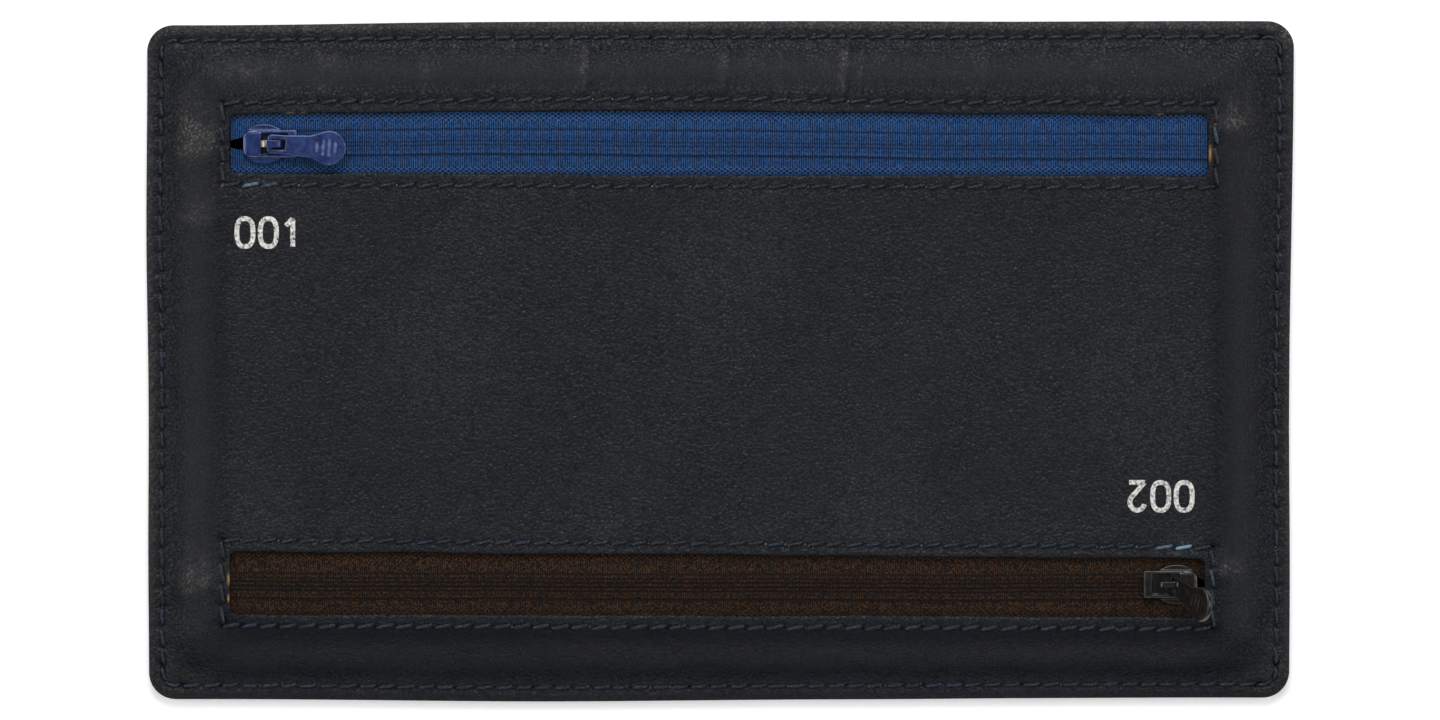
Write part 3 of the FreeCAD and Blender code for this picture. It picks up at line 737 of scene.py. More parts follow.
def cut_edge_paint():
    """The leather's cut edge: dyed dark, with tan core showing in specks."""
    paint = Paint("leather_cut_edge", Specular_IOR_Level=0.2)
    fibres = paint.noise(0.5, 4, 0.7, paint.stretched(0.35, 1.0, 1.0))
    specks = paint.noise(2.6, 2, 0.5)
    tan = paint.math("MULTIPLY", paint.remap(specks, 0.62, 0.70), paint.remap(fibres, 0.45, 0.62))
    base = paint.mix(paint.remap(fibres, 0.35, 0.65), tint(10, 10, 11), tint(30, 29, 29))
    paint.set("Base Color", paint.mix(tan, base, tint(168, 128, 88)))
    paint.set("Roughness", paint.remap(fibres, 0.3, 0.7, 0.5, 0.8))
    paint.bump(fibres, 0.08, 0.8)
    return paint.material


def lining_paint():
    """Black plain-weave lining cloth."""
    paint = Paint("lining_cloth", Roughness=0.85, Sheen_Weight=0.3)
    weave = paint.math("MULTIPLY", paint.bands(0.36, "X"), paint.bands(0.36, "Y"))
    fuzz = paint.noise(0.8, 3)
    paint.set("Base Color", paint.mix(paint.math("ADD", weave, fuzz), tint(10, 10, 12), tint(32, 32, 36)))
    paint.bump(weave, 0.06)
    return paint.material


def thread_paint():
    """Waxed navy thread, lighter where its plies catch the light, with painted glints in a few places."""
    paint = Paint("navy_thread", Roughness=0.38, Specular_IOR_Level=0.36)
    fibre = paint.noise(0.16, 3, 0.65, paint.stretched(0.5, 1.3, 1.0))
    tone_and_painted_glint = paint.value("tone_and_painted_glint")
    base = paint.mix(tone_and_painted_glint, tint(2, 5, 9), tint(12, 22, 36))
    # painted highlight: glints where the stored value is above 1
    base = paint.mix(paint.remap(tone_and_painted_glint, 1.0, 1.9), base, tint(120, 150, 172))
    paint.set("Base Color", paint.mix(paint.remap(fibre, 0.55, 0.66, 0.0, 0.8), base, tint(92, 118, 146)))
    paint.bump(fibre, 0.03, 0.8)
    return paint.material


def tape_paint(name, dark, middle, light, ribbing):
    """Woven zip tape: ribs across it, a looped selvedge, uneven dye, painted shade in the chain's lines and
    under a window's lower edge, and lighter dashes on the chain.
    """
    paint = Paint(name, Roughness=0.72, Specular_IOR_Level=0.15)
    wobble = paint.noise(1.4, 3, 0.6)
    ribs = paint.bands(0.40, "X", 0.5)
    knots = paint.remap(paint.noise(0.30, 3, 0.65, paint.stretched(1.1, 0.8, 1.0)), 0.34, 0.66)
    slant = [paint.bands(0.62, "X", 0.6, paint.stretched(1, 1, 1, turn)) for turn in (0.95, -0.95)]
    loops = paint.math("MAXIMUM", paint.remap(slant[0], 0.45, 0.85), paint.remap(slant[1], 0.45, 0.85))
    selvedge = paint.value("selvedge")
    weave = paint.math("ADD", paint.math("MULTIPLY", ribs, paint.math("SUBTRACT", 1.0, selvedge)),
                       paint.math("MULTIPLY", loops, selvedge))
    pattern = paint.math("ADD", paint.math("MULTIPLY", weave, ribbing),
                         paint.math("MULTIPLY", knots, 1.25 - ribbing))
    base = paint.mix(paint.remap(pattern, 0.22, 0.58), dark, middle)
    base = paint.mix(paint.remap(pattern, 0.58, 0.95), base, light)
    base = paint.mix(paint.remap(wobble, 0.5, 0.8, 0.0, 0.45), base, dark)
    # below 0 the stored value lightens the weave in dashes on the chain; above 0 it paints shade in the
    # chain's lines and under a window's lower edge
    base = paint.mix(paint.remap(paint.value("groove_and_painted_shade"), -0.1, -0.6, 0.0, 0.6), base, light)
    base = paint.mix(paint.remap(paint.value("groove_and_painted_shade"), 0.0, 1.0, 0.0, 0.85), base, tint(4, 5, 8))
    paint.set("Base Color", base)
    paint.bump(pattern, 0.14, 1.0)
    return paint.material


def coil_paint(name, dark, light):
    """Nylon zip teeth, a little shiny."""
    paint = Paint(name, Roughness=0.38, Specular_IOR_Level=0.5)
    scuff = paint.noise(0.5, 3)
    paint.set("Base Color", paint.mix(paint.remap(scuff, 0.35, 0.65), dark, light))
    paint.bump(scuff, 0.03)
    return paint.material


def enamel_paint(name, deep, face, worn):
    """Lacquered cast metal: slight orange peel, lighter where it is rubbed and where a painted highlight
    runs along its edges, and painted shade, near black, deep inside.
    """
    paint = Paint(name, Metallic=0.15, Specular_IOR_Level=0.5, Coat_Weight=0.2, Coat_Roughness=0.15)
    peel = paint.noise(0.55, 2, 0.5)
    rubbed = paint.noise(1.3, 4, 0.65)
    chips = paint.cells(0.55)
    base = paint.mix(paint.remap(rubbed, 0.35, 0.65), deep, face)
    mark = paint.math("MULTIPLY", paint.remap(rubbed, 0.60, 0.68), paint.remap(chips, 0.22, 0.12))
    # rubbed edges, lightened also as a painted highlight
    rub = paint.math("MULTIPLY", paint.value("wear_and_painted_light"), paint.remap(rubbed, 0.35, 0.60, 0.15, 0.75))
    base = paint.mix(paint.math("MAXIMUM", mark, rub), base, worn)
    # painted shade, near black, where the stored value is below 0
    inside = paint.remap(paint.value("wear_and_painted_light"), -0.1, -0.9, 0.0, 0.92)
    paint.set("Base Color", paint.mix(inside, base, tint(3, 3, 5)))
    paint.set("Roughness", paint.remap(rubbed, 0.3, 0.7, 0.26, 0.44))
    paint.bump(peel, 0.03, 0.6)
    return paint.material


def bare_metal_paint():
    """Bright zinc with fine rub marks."""
    paint = Paint("bare_zinc", Metallic=1.0)
    rub = paint.noise(0.25, 3, 0.6, paint.stretched(0.3, 1.5, 1.0))
    paint.set("Base Color", paint.mix(paint.remap(rub, 0.3, 0.7), tint(112, 109, 100), tint(188, 184, 172)))
    paint.set("Roughness", paint.remap(rub, 0.3, 0.7, 0.22, 0.45))
    paint.bump(rub, 0.02)
    return paint.material


def foil_paint():
    """Silver foil pressed into grain: bright on the pebbles, worn off in places."""
    paint = Paint("silver_foil", Roughness=0.38)
    pebbles = paint.cells(0.80, "SMOOTH_F1")
    # where the foil has worn off the grain
    wear_and_painted_light = paint.noise(0.5, 4, 0.7)
    kept = paint.math("ADD", paint.remap(wear_and_painted_light, 0.36, 0.54),
                      paint.remap(pebbles, 0.55, 0.35, 0.25, -0.15), clamp=True)
    paint.set("Base Color", paint.mix(kept, tint(30, 30, 32), tint(240, 239, 234)))
    paint.set("Metallic", paint.remap(kept, 0.3, 0.7, 0.0, 0.45))
    paint.bump(pebbles, -0.14)
    paint.bump(wear_and_painted_light, 0.05)
    return paint.material


def floor_paint():
    """Plain white studio paper with a trace of tooth."""
    paint = Paint("studio_paper", Roughness=0.9, Specular_IOR_Level=0.2)
    tooth = paint.noise(3.0, 2)
    paint.set("Base Color", paint.mix(tooth, tint(246, 246, 246), tint(252, 252, 252)))
    paint.set("Emission Color", (1, 1, 1, 1))
    paint.set("Emission Strength", 0.3)
    return paint.material


LEATHER_GRAIN = leather_paint()
CUT_EDGE = cut_edge_paint()
LINING_CLOTH = lining_paint()
NAVY_THREAD = thread_paint()
BARE_ZINC = bare_metal_paint()
SILVER_FOIL = foil_paint()
ZIP_PAINTS = {
    "zip_1": {
        "tape": tape_paint("zip_1_weave", tint(2, 20, 52), tint(14, 46, 90), tint(54, 92, 142), 0.7),
        "coil": coil_paint("zip_1_nylon", tint(16, 26, 48), tint(34, 52, 88)),
        "metal": enamel_paint("zip_1_enamel", tint(13, 33, 80), tint(20, 46, 104), tint(112, 128, 178)),
    },
    "zip_2": {
        "tape": tape_paint("zip_2_weave", tint(8, 4, 2), tint(27, 16, 9), tint(72, 50, 34), 0.35),
        "coil": coil_paint("zip_2_nylon", tint(16, 11, 8), tint(40, 30, 24)),
        "metal": enamel_paint("zip_2_enamel", tint(9, 7, 6), tint(17, 14, 12), tint(88, 84, 78)),
    },
}


def piece(thing, body, slot, *nodes):
    """Fasten a finished piece to its body, and hide the CAD nodes it stands for. slot, its finish, is not
    used.
    """
    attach(thing, body)
    if nodes:
        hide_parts(*nodes)
    return thing


# ---------------------------------------------------------------- leather and lining

FRONT_CUTS = 0.45  # spacing of the grid lines of each thing's mesh
BACK_CUTS = 0.6
LINING_CUTS = 1.2
TAPE_CUTS = 0.7
CHAIN_CUTS = 0.13
EDGE_BANDS = (0.0, 0.12, 0.35, 0.75)
ROLLED_EDGE = 1.2


def leather_lines(axis):
    """Grid lines of the front panel, closer at the windows' edges and the rolled rim."""
    half = (HALF_X, HALF_Y)[axis]
    extra = [s * (half - d) for s in (-1, 1) for d in (*EDGE_BANDS, ROLLED_EDGE, CORNER)]
    for zip_ in ZIPS:
        edges = [zip_.center[axis] + s * zip_.half_window[axis] for s in (-1, 1)]
        extra += [edge + s * d for s, edge in zip((-1, 1), edges) for d in EDGE_BANDS]
    return grid_lines(-half, half, FRONT_CUTS, extra)


def in_window(x, y):
    """Whether a place on the pattern is in either zip's window."""
    inside = np.zeros(np.shape(x), dtype=bool)
    for zip_ in ZIPS:
        inside |= window_gap(x, y, zip_) < 0
    return inside


def panel_face(level_at):
    """A leather panel's face over a grid, from its level at each place on the pattern."""
    def face(x, y):
        flat_x, flat_y = round_corners(x, y)
        return np.stack([*sewn(flat_x, flat_y), level_at(flat_x, flat_y)], axis=-1)
    return face


def front_top(x, y):
    """The front panel's outer face."""
    return front_level(x, y)[0]


def leather_under(x, y):
    """Underside of the front panel, flat on the layers below it at the seam."""
    return np.maximum(front_level(x, y)[0] - LEATHER, SEAM_TOP - LEATHER)


def back_out(x, y):
    """The pouch's back: nearly flat, seam drawn up, edge rolled, grain undulating."""
    inset = inset_of(x, y)
    depth, _ = pinch(x, y, EDGE_RUNS, BACK_SEED)
    seam = 0.34 * bell(inset - EDGE_STITCH, 1.5) + 0.9 * depth
    return np.maximum(0.03 + seam + 0.42 * fall(inset, 1.1) ** 2 + 0.02 * ripple(x, y, 32, 30), 0.0)


def back_in(x, y):
    """The inner face of the pouch's back, which is flat."""
    return np.full(np.shape(x), LEATHER)


def pattern_points(thing):
    """A finished panel's points, back on the flat pattern."""
    points = points_of(thing)
    return unsewn(points[:, 0], points[:, 1])


def make_front():
    front = shell("front_leather", leather_lines(0), leather_lines(1), panel_face(front_top),
                  panel_face(leather_under), [LEATHER_GRAIN, CUT_EDGE], in_window)
    x, y = pattern_points(front)
    # painted shade at the needle holes, and tan core in some
    add_values(front, "hole_shade_and_core", front_level(x, y)[1])
    # painted highlights, and dull places with less specular
    add_values(front, "painted_highlight_and_dull", painted_highlight_and_dull_of(x, y))
    add_values(front, "bare", bare_of(x, y))
    return piece(front, "pouch", "leather", "front_panel")


def make_back():
    lines = []
    for half in (HALF_X, HALF_Y):
        extra = [s * (half - d) for s in (-1, 1) for d in (*EDGE_BANDS, ROLLED_EDGE)]
        lines.append(grid_lines(-half, half, BACK_CUTS, extra))
    back = shell("back_leather", *lines, panel_face(back_in), panel_face(back_out),
                 [LEATHER_GRAIN, CUT_EDGE])
    # painted shade at the needle holes, and tan core in some
    add_values(back, "hole_shade_and_core", pinch(*pattern_points(back), EDGE_RUNS, BACK_SEED)[1])
    return piece(back, "pouch", "leather", "back_panel")


LINING_INSET = 0.2
LINING_CORNER = 5.0
POCKET_HEIGHT = LEATHER_TOP - LEATHER - LINING - 2.9  # how far the divider rises beside zip 2
HILL_START = -2.0


def lining_lines(axis, extra=()):
    """Grid lines of a lining."""
    half = (HALF_X, HALF_Y)[axis] - LINING_INSET
    return grid_lines(-half, half, LINING_CUTS, [LINING_CORNER - half, half - LINING_CORNER, *extra])


def slack_of(x, y):
    """How free a lining is to lie loose: not at all near the seam."""
    return rise(inset_of(x, y), 6, 14)


def back_lining_level(x, y):
    return LEATHER + 0.12 * slack_of(x, y) * (1 + ripple(x, y, 41, 24))


def divider_level(x, y):
    """The divider lies on the back lining under zip 1, and rises to hold zip 2's pocket."""
    hill = rise(inset_of(x, y), 3.6, 10.5) * (1 - rise(y, HILL_START - 9, 9))
    flat = LEATHER + LINING + 0.15 * slack_of(x, y) * (1 + ripple(x, y, 42, 21))
    return flat + hill * POCKET_HEIGHT + 0.12 * hill * ripple(x, y, 43, 15)


def make_linings():
    half_x, half_y = HALF_X - LINING_INSET, HALF_Y - LINING_INSET
    zip_ = ZIPS[1]
    window_x, window_y = [(middle - half, middle + half)
                          for middle, half in zip(zip_.center, zip_.half_window)]

    def face(level_at, lift):
        def points(x, y):
            return np.stack([*sewn(*round_corners(x, y, half_x, half_y)), level_at(x, y) + lift], axis=-1)
        return points

    ys = lining_lines(1, window_y)
    back = shell("back_lining_cloth", lining_lines(0), ys, face(back_lining_level, LINING),
                 face(back_lining_level, 0.0), [LINING_CLOTH])
    divider = shell("divider_cloth", lining_lines(0, window_x), ys, face(divider_level, LINING),
                    face(divider_level, 0.0), [LINING_CLOTH], lambda x, y: window_gap(x, y, zip_) < 0)
    piece(back, "pouch", "lining", "back_lining")
    piece(divider, "pouch", "lining", "divider_lining")


# ---------------------------------------------------------------- stitching

PLY = 0.170  # radius of one of a thread's three plies
PLY_TURN = 1.35
SLANT = math.radians(10)
STITCH_STEPS = 15
STITCH_REACH = 0.475 * STITCH_PITCH
DIVE_START = 0.62  # where along a stitch its end begins to dive, and how deep it goes
DIVE_DEPTH = 0.55
STITCH_ARCH = 0.12
BACK_THREAD_LEVEL = 0.36


def stitch_thread(along, across, level, direction, twist, upward, bend):
    """One stitch: three plies twisted together, its two ends diving into their holes. direction is
    0 along X or 1 along Y, and upward is -1 on the back."""
    t = np.linspace(-1, 1, STITCH_STEPS)
    path_along = along + STITCH_REACH * t * math.cos(SLANT)
    path_across = across + STITCH_REACH * t * math.sin(SLANT)
    dive = np.clip((np.abs(t) - DIVE_START) / (1 - DIVE_START), 0, 1)
    path_level = level + upward * (STITCH_ARCH * (1 - t * t) - DIVE_DEPTH * dive ** 2)
    flat = (path_along, path_across) if direction == 0 else (-path_across, path_along)
    flat = np.stack(bend(*flat), axis=-1)
    aside = (0.0, 1.0) if direction == 0 else (-1.0, 0.0)
    parts = []
    for ply in range(3):
        angle = twist + 2 * math.pi * (ply / 3 + STITCH_REACH * t / PLY_TURN)
        ring = flat + np.outer(1.05 * PLY * np.cos(angle) * (1 - 0.3 * dive), aside)
        ring_level = path_level + upward * 0.9 * PLY * np.sin(angle)
        points = np.column_stack([ring, ring_level])
        parts.append(tube(points, PLY * (1 - 0.45 * dive), 6, (0, 0, 1)))
    return parts


def edge_bend(x, y):
    """The edge stitching turns each corner in a small curve."""
    return round_corners(x, y, HALF_X - EDGE_STITCH, HALF_Y - EDGE_STITCH, CORNER - EDGE_STITCH)


def straight(x, y):
    """A window's stitching runs straight to its corners."""
    return x, y


def make_stitching(name, runs, level_at, seed, node=None, upward=1.0):
    """A stitched rectangle as one piece, each stitch with a slightly different lie and tone, and painted
    glints in a few places.
    """
    rng = np.random.default_rng(seed)
    parts, tones_and_painted_glints = [], []
    for axis, line, start, count, step in runs:
        for k in range(count):
            along = start + (k + 0.5) * step + rng.normal(0, 0.07)
            across = line + rng.normal(0, 0.05)
            x, y = (along, across) if axis == 0 else (across, along)
            level = float(level_at(np.array([x]), np.array([y]))[0])
            place = (along, across) if axis == 0 else (along, -across)
            tone_and_painted_glint = float(np.clip(rng.normal(0.30, 0.20), 0, 1))
            # painted highlight: glints on the front's stitches at the glint places
            tone_and_painted_glint += GLINT_ON_THREAD * max(upward, 0) * glint_of(x, y)
            bend = edge_bend if runs is EDGE_RUNS else straight
            for points, faces in stitch_thread(*place, level, axis, rng.uniform(0, 6.3), upward, bend):
                parts.append((points, faces))
                tones_and_painted_glints.append(np.full(len(points), np.clip(tone_and_painted_glint + rng.normal(0, 0.08), 0, 2)))
    points, faces = join_parts(parts)
    points[:, 0], points[:, 1] = sewn(points[:, 0], points[:, 1])
    thread = make_object(name, points, faces, [NAVY_THREAD])
    add_values(thread, "tone_and_painted_glint", np.concatenate(tones_and_painted_glints))
    return piece(thread, "pouch", "thread", *([node] if node else []))


def thread_rest(x, y):
    """Where a stitch's middle lies on the front: a little sunk into its groove."""
    level, _ = front_level(x, y)
    depth = sum(pinch(x, y, runs, seed)[0] for runs, seed, _ in FRONT_ROWS)
    return level + 0.5 * depth + 0.06


def back_thread_rest(x, y):
    """Where a stitch's middle lies on the back, sunk into its groove."""
    return np.full(np.shape(x), BACK_THREAD_LEVEL)


# ---------------------------------------------------------------- zips

SLIT = 1.25
SLIT_AT_EDGE = 0.55
TAPE_HALF = TAPE_HIGH[1] - ZIPS[0].center[1]
TAPE_PAST = TAPE_HIGH[0] - ZIPS[0].center[0] - ZIPS[0].half_window[0]
CHAIN_HALF = 2.5
CHAIN_LOW = TAPE_TOP - 0.27
CHAIN_TOP = TAPE_TOP + 0.12
CHAIN_START = 3.4  # from the slider's front to where the chain's cover begins, inside the slider
CHAIN_KEPT = 12.0  # the most of it that is left when the zip is open
CHAIN_PAST = 0.4
CHAIN_DRIFT = {  # places along each chain, and its middle's distance off the zip's line there
    "zip_1": [(-80, 0.1), (-50, 0.38), (-27, 0.38), (16, -0.06), (40, -0.38), (90, -0.5)],
    "zip_2": [(-80, 0.5), (-40, 0.6), (10, 0.45), (60, 0.3), (90, 0.15)],
}
CHAIN_SHADE = {"zip_1": 0.06, "zip_2": 0.16}
CHAIN_LINES = {  # each line of painted shade between the chain's ribs: its place, darkness, and how dotted it is
    "zip_1": [(-2.25, 1.15, 0.0), (-1.37, 0.5, 0.6), (-0.6, 0.7, 0.2), (0.09, 0.7, 0.2), (0.75, 0.45, 0.6),
              (2.25, 0.85, 0.0)],
    "zip_2": [(-2.22, 1.0, 0.2), (-1.4, 1.2, 0.6), (-0.68, 1.4, 0.4), (0.1, 1.5, 0.2), (0.83, 1.4, 0.4),
              (1.55, 0.7, 0.6), (2.22, 1.0, 0.0)],
}


def tape_top(zip_, x, y):
    """Top of a tape: up against the leather, a little loose in the window."""
    placed = zip_.place(np.stack([x, y, 0 * x], axis=-1))
    flat_x, flat_y = unsewn(placed[..., 0], placed[..., 1])
    gap = window_gap(flat_x, flat_y, zip_)
    under = leather_under(flat_x, flat_y) - 0.02
    loose = TAPE_TOP - 0.10 + 0.05 * ripple(flat_x, flat_y, 51, 7)
    loose = loose - 0.10 * bell(np.abs(y) - 4.2, 1.0)
    hidden = rise(gap, -0.9, 0.9)
    return np.minimum(under * hidden + loose * (1 - hidden), TAPE_TOP)


def make_tapes(zip_):
    """The two woven tapes, with the slit between them widening to the slider."""
    end = zip_.half_window[0] + TAPE_PAST
    xs = grid_lines(-end, end, TAPE_CUTS, [zip_.slider_front])
    rows = np.linspace(0, 1, 19)
    for side, sign in (("outer", 1.0), ("inner", -1.0)):
        def spread(x, row):
            before = (x + zip_.half_window[0]) / (zip_.slider_front + zip_.half_window[0])
            slit = SLIT_AT_EDGE + (SLIT - SLIT_AT_EDGE) * np.clip(before, 0, 1)
            slit = slit + 0.015 * np.sin(x * 1.7) * np.cos(x * 0.6)
            return sign * (slit + (TAPE_HALF - slit) * row)

        def top(x, row):
            y = spread(x, row)
            lip = 0.10 * fall(np.abs(y) - SLIT_AT_EDGE, 1.2) ** 2
            return zip_.place(np.stack([x, y, tape_top(zip_, x, y) - lip], axis=-1))

        def under(x, row):
            return top(x, row) - (0, 0, TAPE_THICK)

        columns = rows if sign > 0 else rows[::-1]
        weave = [ZIP_PAINTS[zip_.name]["tape"]]
        tape = shell(f"{zip_.name}_tape_{side}_weave", xs, columns, top, under, weave)
        across = zip_.local(tape)[:, 1]
        add_values(tape, "selvedge", rise(np.abs(across), 3.9, 0.5))
        # painted shade: darker over the tape's lower half, and in a painted shadow under the window's lower
        # edge
        below = -zip_.turn * across
        shadow = bell(below - zip_.half_window[1] + 0.2, 0.75)
        add_values(tape, "groove_and_painted_shade", 0.09 * smooth(below) + 0.40 * shadow)
        piece(tape, "pouch", f"{zip_.name}_tape", f"{zip_.name}_tape_{side}")


def wander_of(zip_, x):
    """How far the chain's middle strays from straight."""
    places, drifts = zip(*CHAIN_DRIFT[zip_.name])
    return np.interp(x, places, drifts) + 0.05 * np.sin(x / 9.0) + 0.03 * np.sin(x / 3.7 + 1)


def make_chain(zip_):
    """The closed chain behind the slider, seen from the tape side."""
    start = zip_.slider_front + CHAIN_START
    end = min(start + zip_.travel + CHAIN_KEPT, zip_.half_window[0] + CHAIN_PAST)
    xs = grid_lines(start, end, COIL_PITCH / 5)
    ys = grid_lines(-CHAIN_HALF, CHAIN_HALF, CHAIN_CUTS)
    lines = CHAIN_LINES[zip_.name]

    def top(x, y):
        off = np.abs(y)
        groove_and_painted_shade = sum(0.08 * depth * bell(y - place, 0.15) for place, depth, _ in lines)
        beat = beat_of(x + np.where(y > 0, 0.0, COIL_PITCH / 2), COIL_PITCH)
        bumps = 0.04 * beat * bell(off - 0.36, 0.22) + 0.03 * beat * bell(off - 1.5, 0.55)
        edge = 0.10 * np.clip((off - 2.2) / 0.3, 0, 1) ** 2
        level = CHAIN_TOP - groove_and_painted_shade + bumps - edge - 0.04
        return zip_.place(np.stack([x, y + wander_of(zip_, x), level], axis=-1))

    def under(x, y):
        level = np.full(np.shape(x), CHAIN_LOW)
        return zip_.place(np.stack([x, y + wander_of(zip_, x), level], axis=-1))

    chain = shell(f"{zip_.name}_closed_chain", xs, ys, top, under, [ZIP_PAINTS[zip_.name]["tape"]])
    local = zip_.local(chain)
    across = local[:, 1] - wander_of(zip_, local[:, 0])
    gaps = 1 - beat_of(local[:, 0], COIL_PITCH)
    # painted shade: the chain darker overall and in the lines between its ribs, with lighter dashes between
    # the coils near its edges
    dark = CHAIN_SHADE[zip_.name]
    for place, depth, dotted in lines:
        dark = dark + depth * (1 - dotted * gaps) * bell(across - place, 0.16)
    light = rise(gaps, 0.45, 0.2) * bell(np.abs(across) - 1.75, 0.22)
    add_values(chain, "groove_and_painted_shade", np.clip(dark - 0.35 * light, -1, 1))
    piece(chain, "pouch", f"{zip_.name}_tape")
    anchor = zip_.place([end, 0.0, TAPE_TOP]) * MM
    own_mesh(chain)


COIL_PLACE = 1.72  # each coil's middle, off the zip's line
COIL_HALF_WIDTH = 0.78
COIL_HALF_HEIGHT = 0.62
COIL_WIRE = 0.2


def make_coils(zip_):
    """The nylon coils sewn under the tapes."""
    end = zip_.half_window[0] + 0.3
    turns = 2 * end / COIL_PITCH
    t = np.linspace(0, 1, int(turns * 9))
    for side, sign in (("outer", 1.0), ("inner", -1.0)):
        angle = 2 * math.pi * turns * t + (0 if sign > 0 else math.pi)
        points = np.stack([-end + 2 * end * t, sign * (COIL_PLACE + COIL_HALF_WIDTH * np.cos(angle)),
                           zip_.channel_top - 0.9 + COIL_HALF_HEIGHT * np.sin(angle)], axis=-1)
        vertices, faces = tube(zip_.place(points), COIL_WIRE, 6, (1.0, 0.0, 0.0))
        nylon = [ZIP_PAINTS[zip_.name]["coil"]]
        coil = make_object(f"{zip_.name}_coil_{side}_nylon", vertices, faces, nylon)
        piece(coil, "pouch", f"{zip_.name}_coil", f"{zip_.name}_coil_{side}")


def rounded(outline, radius, steps=5):
    """An outline with each corner rounded."""
    outline = np.asarray(outline, dtype=float)
    points = []
    for before, corner, after in zip(np.roll(outline, 1, axis=0), outline, np.roll(outline, -1, axis=0)):
        reach = min(radius, 0.48 * np.linalg.norm(before - corner), 0.48 * np.linalg.norm(after - corner))
        a = corner + reach * (before - corner) / np.linalg.norm(before - corner)
        b = corner + reach * (after - corner) / np.linalg.norm(after - corner)
        for t in np.linspace(0, 1, steps):
            points.append((1 - t) ** 2 * a + 2 * t * (1 - t) * corner + t * t * b)
    return np.array(points)


def rectangle(low_x, high_x, half_y):
    """A rectangle's corners, counter-clockwise."""
    return [(low_x, -half_y), (high_x, -half_y), (high_x, half_y), (low_x, half_y)]


def both_sides(half):
    """A closed outline from the points of its upper half, from front to back."""
    half = np.asarray(half, dtype=float)
    return np.concatenate([half * (1, -1), half[::-1]])


# ---------------------------------------------------------------- sliders and pulls

SLIDER_LOW, SLIDER_HIGH = box_mm("zip_1_slider_body")
FLOOR_TOP = SLIDER_LOW[2] + 0.75
WALL_TOP = TAPE_TOP - TAPE_THICK - 0.15
PLATE_LOW = TAPE_TOP + 0.15
PLATE_TOP = PLATE_LOW + 0.65
RAIL_TOP = SLIDER_HIGH[2] - 0.1
SHOULDER = (SLIDER_HIGH[1] - SLIDER_LOW[1]) / 2
NOSE = 2.2
RIM = 2.45
RIM_WALL = 0.6
HOOD = 3.25
REAR_BAR = 1.4
REAR = 3.2
OVERLAP = 0.2  # how far a block reaches into the one it stands on
HOLLOW_TOP = RAIL_TOP - 0.45  # above this the casting's edges are rubbed and carry a painted highlight, and below it the hollow gets painted shade


def plate_outline(rear):
    """A slider plate's outline: blunt nose, wide shoulders, and a rear of that half width."""
    side = [(0, NOSE - 0.5), (0.45, NOSE + 0.2), (1.9, SHOULDER - 0.25), (3.4, SHOULDER),
            (5.2, SHOULDER - 0.15), (6.9, rear + 0.12), (ZIPS[0].slider_length, rear)]
    return rounded(both_sides(side), 0.9)


def make_slider(zip_):
    """Cast slider: floor, side walls, post, and a top plate with a hood, rails and rear bar."""
    length = zip_.slider_length
    blocks = [prism(plate_outline(REAR), SLIDER_LOW[2], FLOOR_TOP),
              prism(plate_outline(RIM), PLATE_LOW, PLATE_TOP)]
    wall = np.array([(1.6, 2.95), (3.4, 2.85), (6.2, 2.15), (length - 0.1, 2.15),
                     (length - 0.1, REAR - 0.05), (6.0, REAR + 0.1), (3.4, SHOULDER - 0.05), (1.6, 3.3)])
    for sign in (1, -1):
        outline = wall if sign > 0 else (wall * (1, -1))[::-1]
        blocks.append(prism(outline, FLOOR_TOP - OVERLAP / 2, WALL_TOP))
        low, high = sorted((sign * (RIM - RIM_WALL), sign * RIM))
        rail = [(HOOD - 0.5, low), (length - 0.5, low), (length - 0.5, high), (HOOD - 0.5, high)]
        blocks.append(prism(rail, PLATE_TOP - OVERLAP, RAIL_TOP))
    post = rounded(both_sides([(0.35, 0.35), (1.4, 0.85), (2.6, 0.2)]), 0.3)
    blocks.append(prism(post, FLOOR_TOP - OVERLAP / 2, PLATE_LOW + OVERLAP / 2))
    bar = rounded(rectangle(length - REAR_BAR, length, RIM), 0.35)
    blocks.append(prism(bar, PLATE_TOP - OVERLAP, RAIL_TOP))
    hood = rounded(both_sides([(0, 1.1), (0.35, 2.0), (1.3, RIM), (HOOD, RIM)]), 0.5)
    blocks.append(prism(hood, PLATE_TOP - OVERLAP, SLIDER_HIGH[2] - 0.25))
    crest = rounded(both_sides([(0.35, 0.9), (0.7, 1.6), (1.5, RIM - 0.45), (HOOD, RIM - 0.45)]), 0.5)
    blocks.append(prism(crest, PLATE_TOP, SLIDER_HIGH[2] + 0.02))
    vertices, faces = join_parts(blocks)
    placed = zip_.place(vertices + (zip_.slider_front, 0, 0))
    body = make_object(f"{zip_.name}_slider_casting", placed, faces, [ZIP_PAINTS[zip_.name]["metal"]])
    cast_smooth(body, voxel=0.11, rounds=5, keep=0.5)
    local = zip_.local(body)
    along, across, level = local[:, 0] - zip_.slider_front, np.abs(local[:, 1]), local[:, 2]
    # rubbed edges along the rails, the hood's front and the rear bar, lightened also as a painted
    # highlight; painted shade in the hollow between the rails
    raised = rise(level, HOLLOW_TOP, 0.25)
    rim = np.maximum(bell(across - RIM + 0.12, 0.16), bell(along - 0.25, 0.22))
    rear = np.maximum(bell(along - length + 0.15, 0.2), bell(along - length + REAR_BAR, 0.2))
    inside = between(along, HOOD - 0.15, 0.2, length - REAR_BAR, 0.2)
    inside *= 1 - rise(across, RIM - RIM_WALL - 0.1, 0.2)
    inside *= 1 - rise(level, HOLLOW_TOP, 0.2)
    add_values(body, "wear_and_painted_light", np.clip(raised * np.maximum(rim, 0.8 * rear) - inside, -1, 1))
    return piece(body, f"{zip_.name}_slider", f"{zip_.name}_metal", f"{zip_.name}_slider_body")


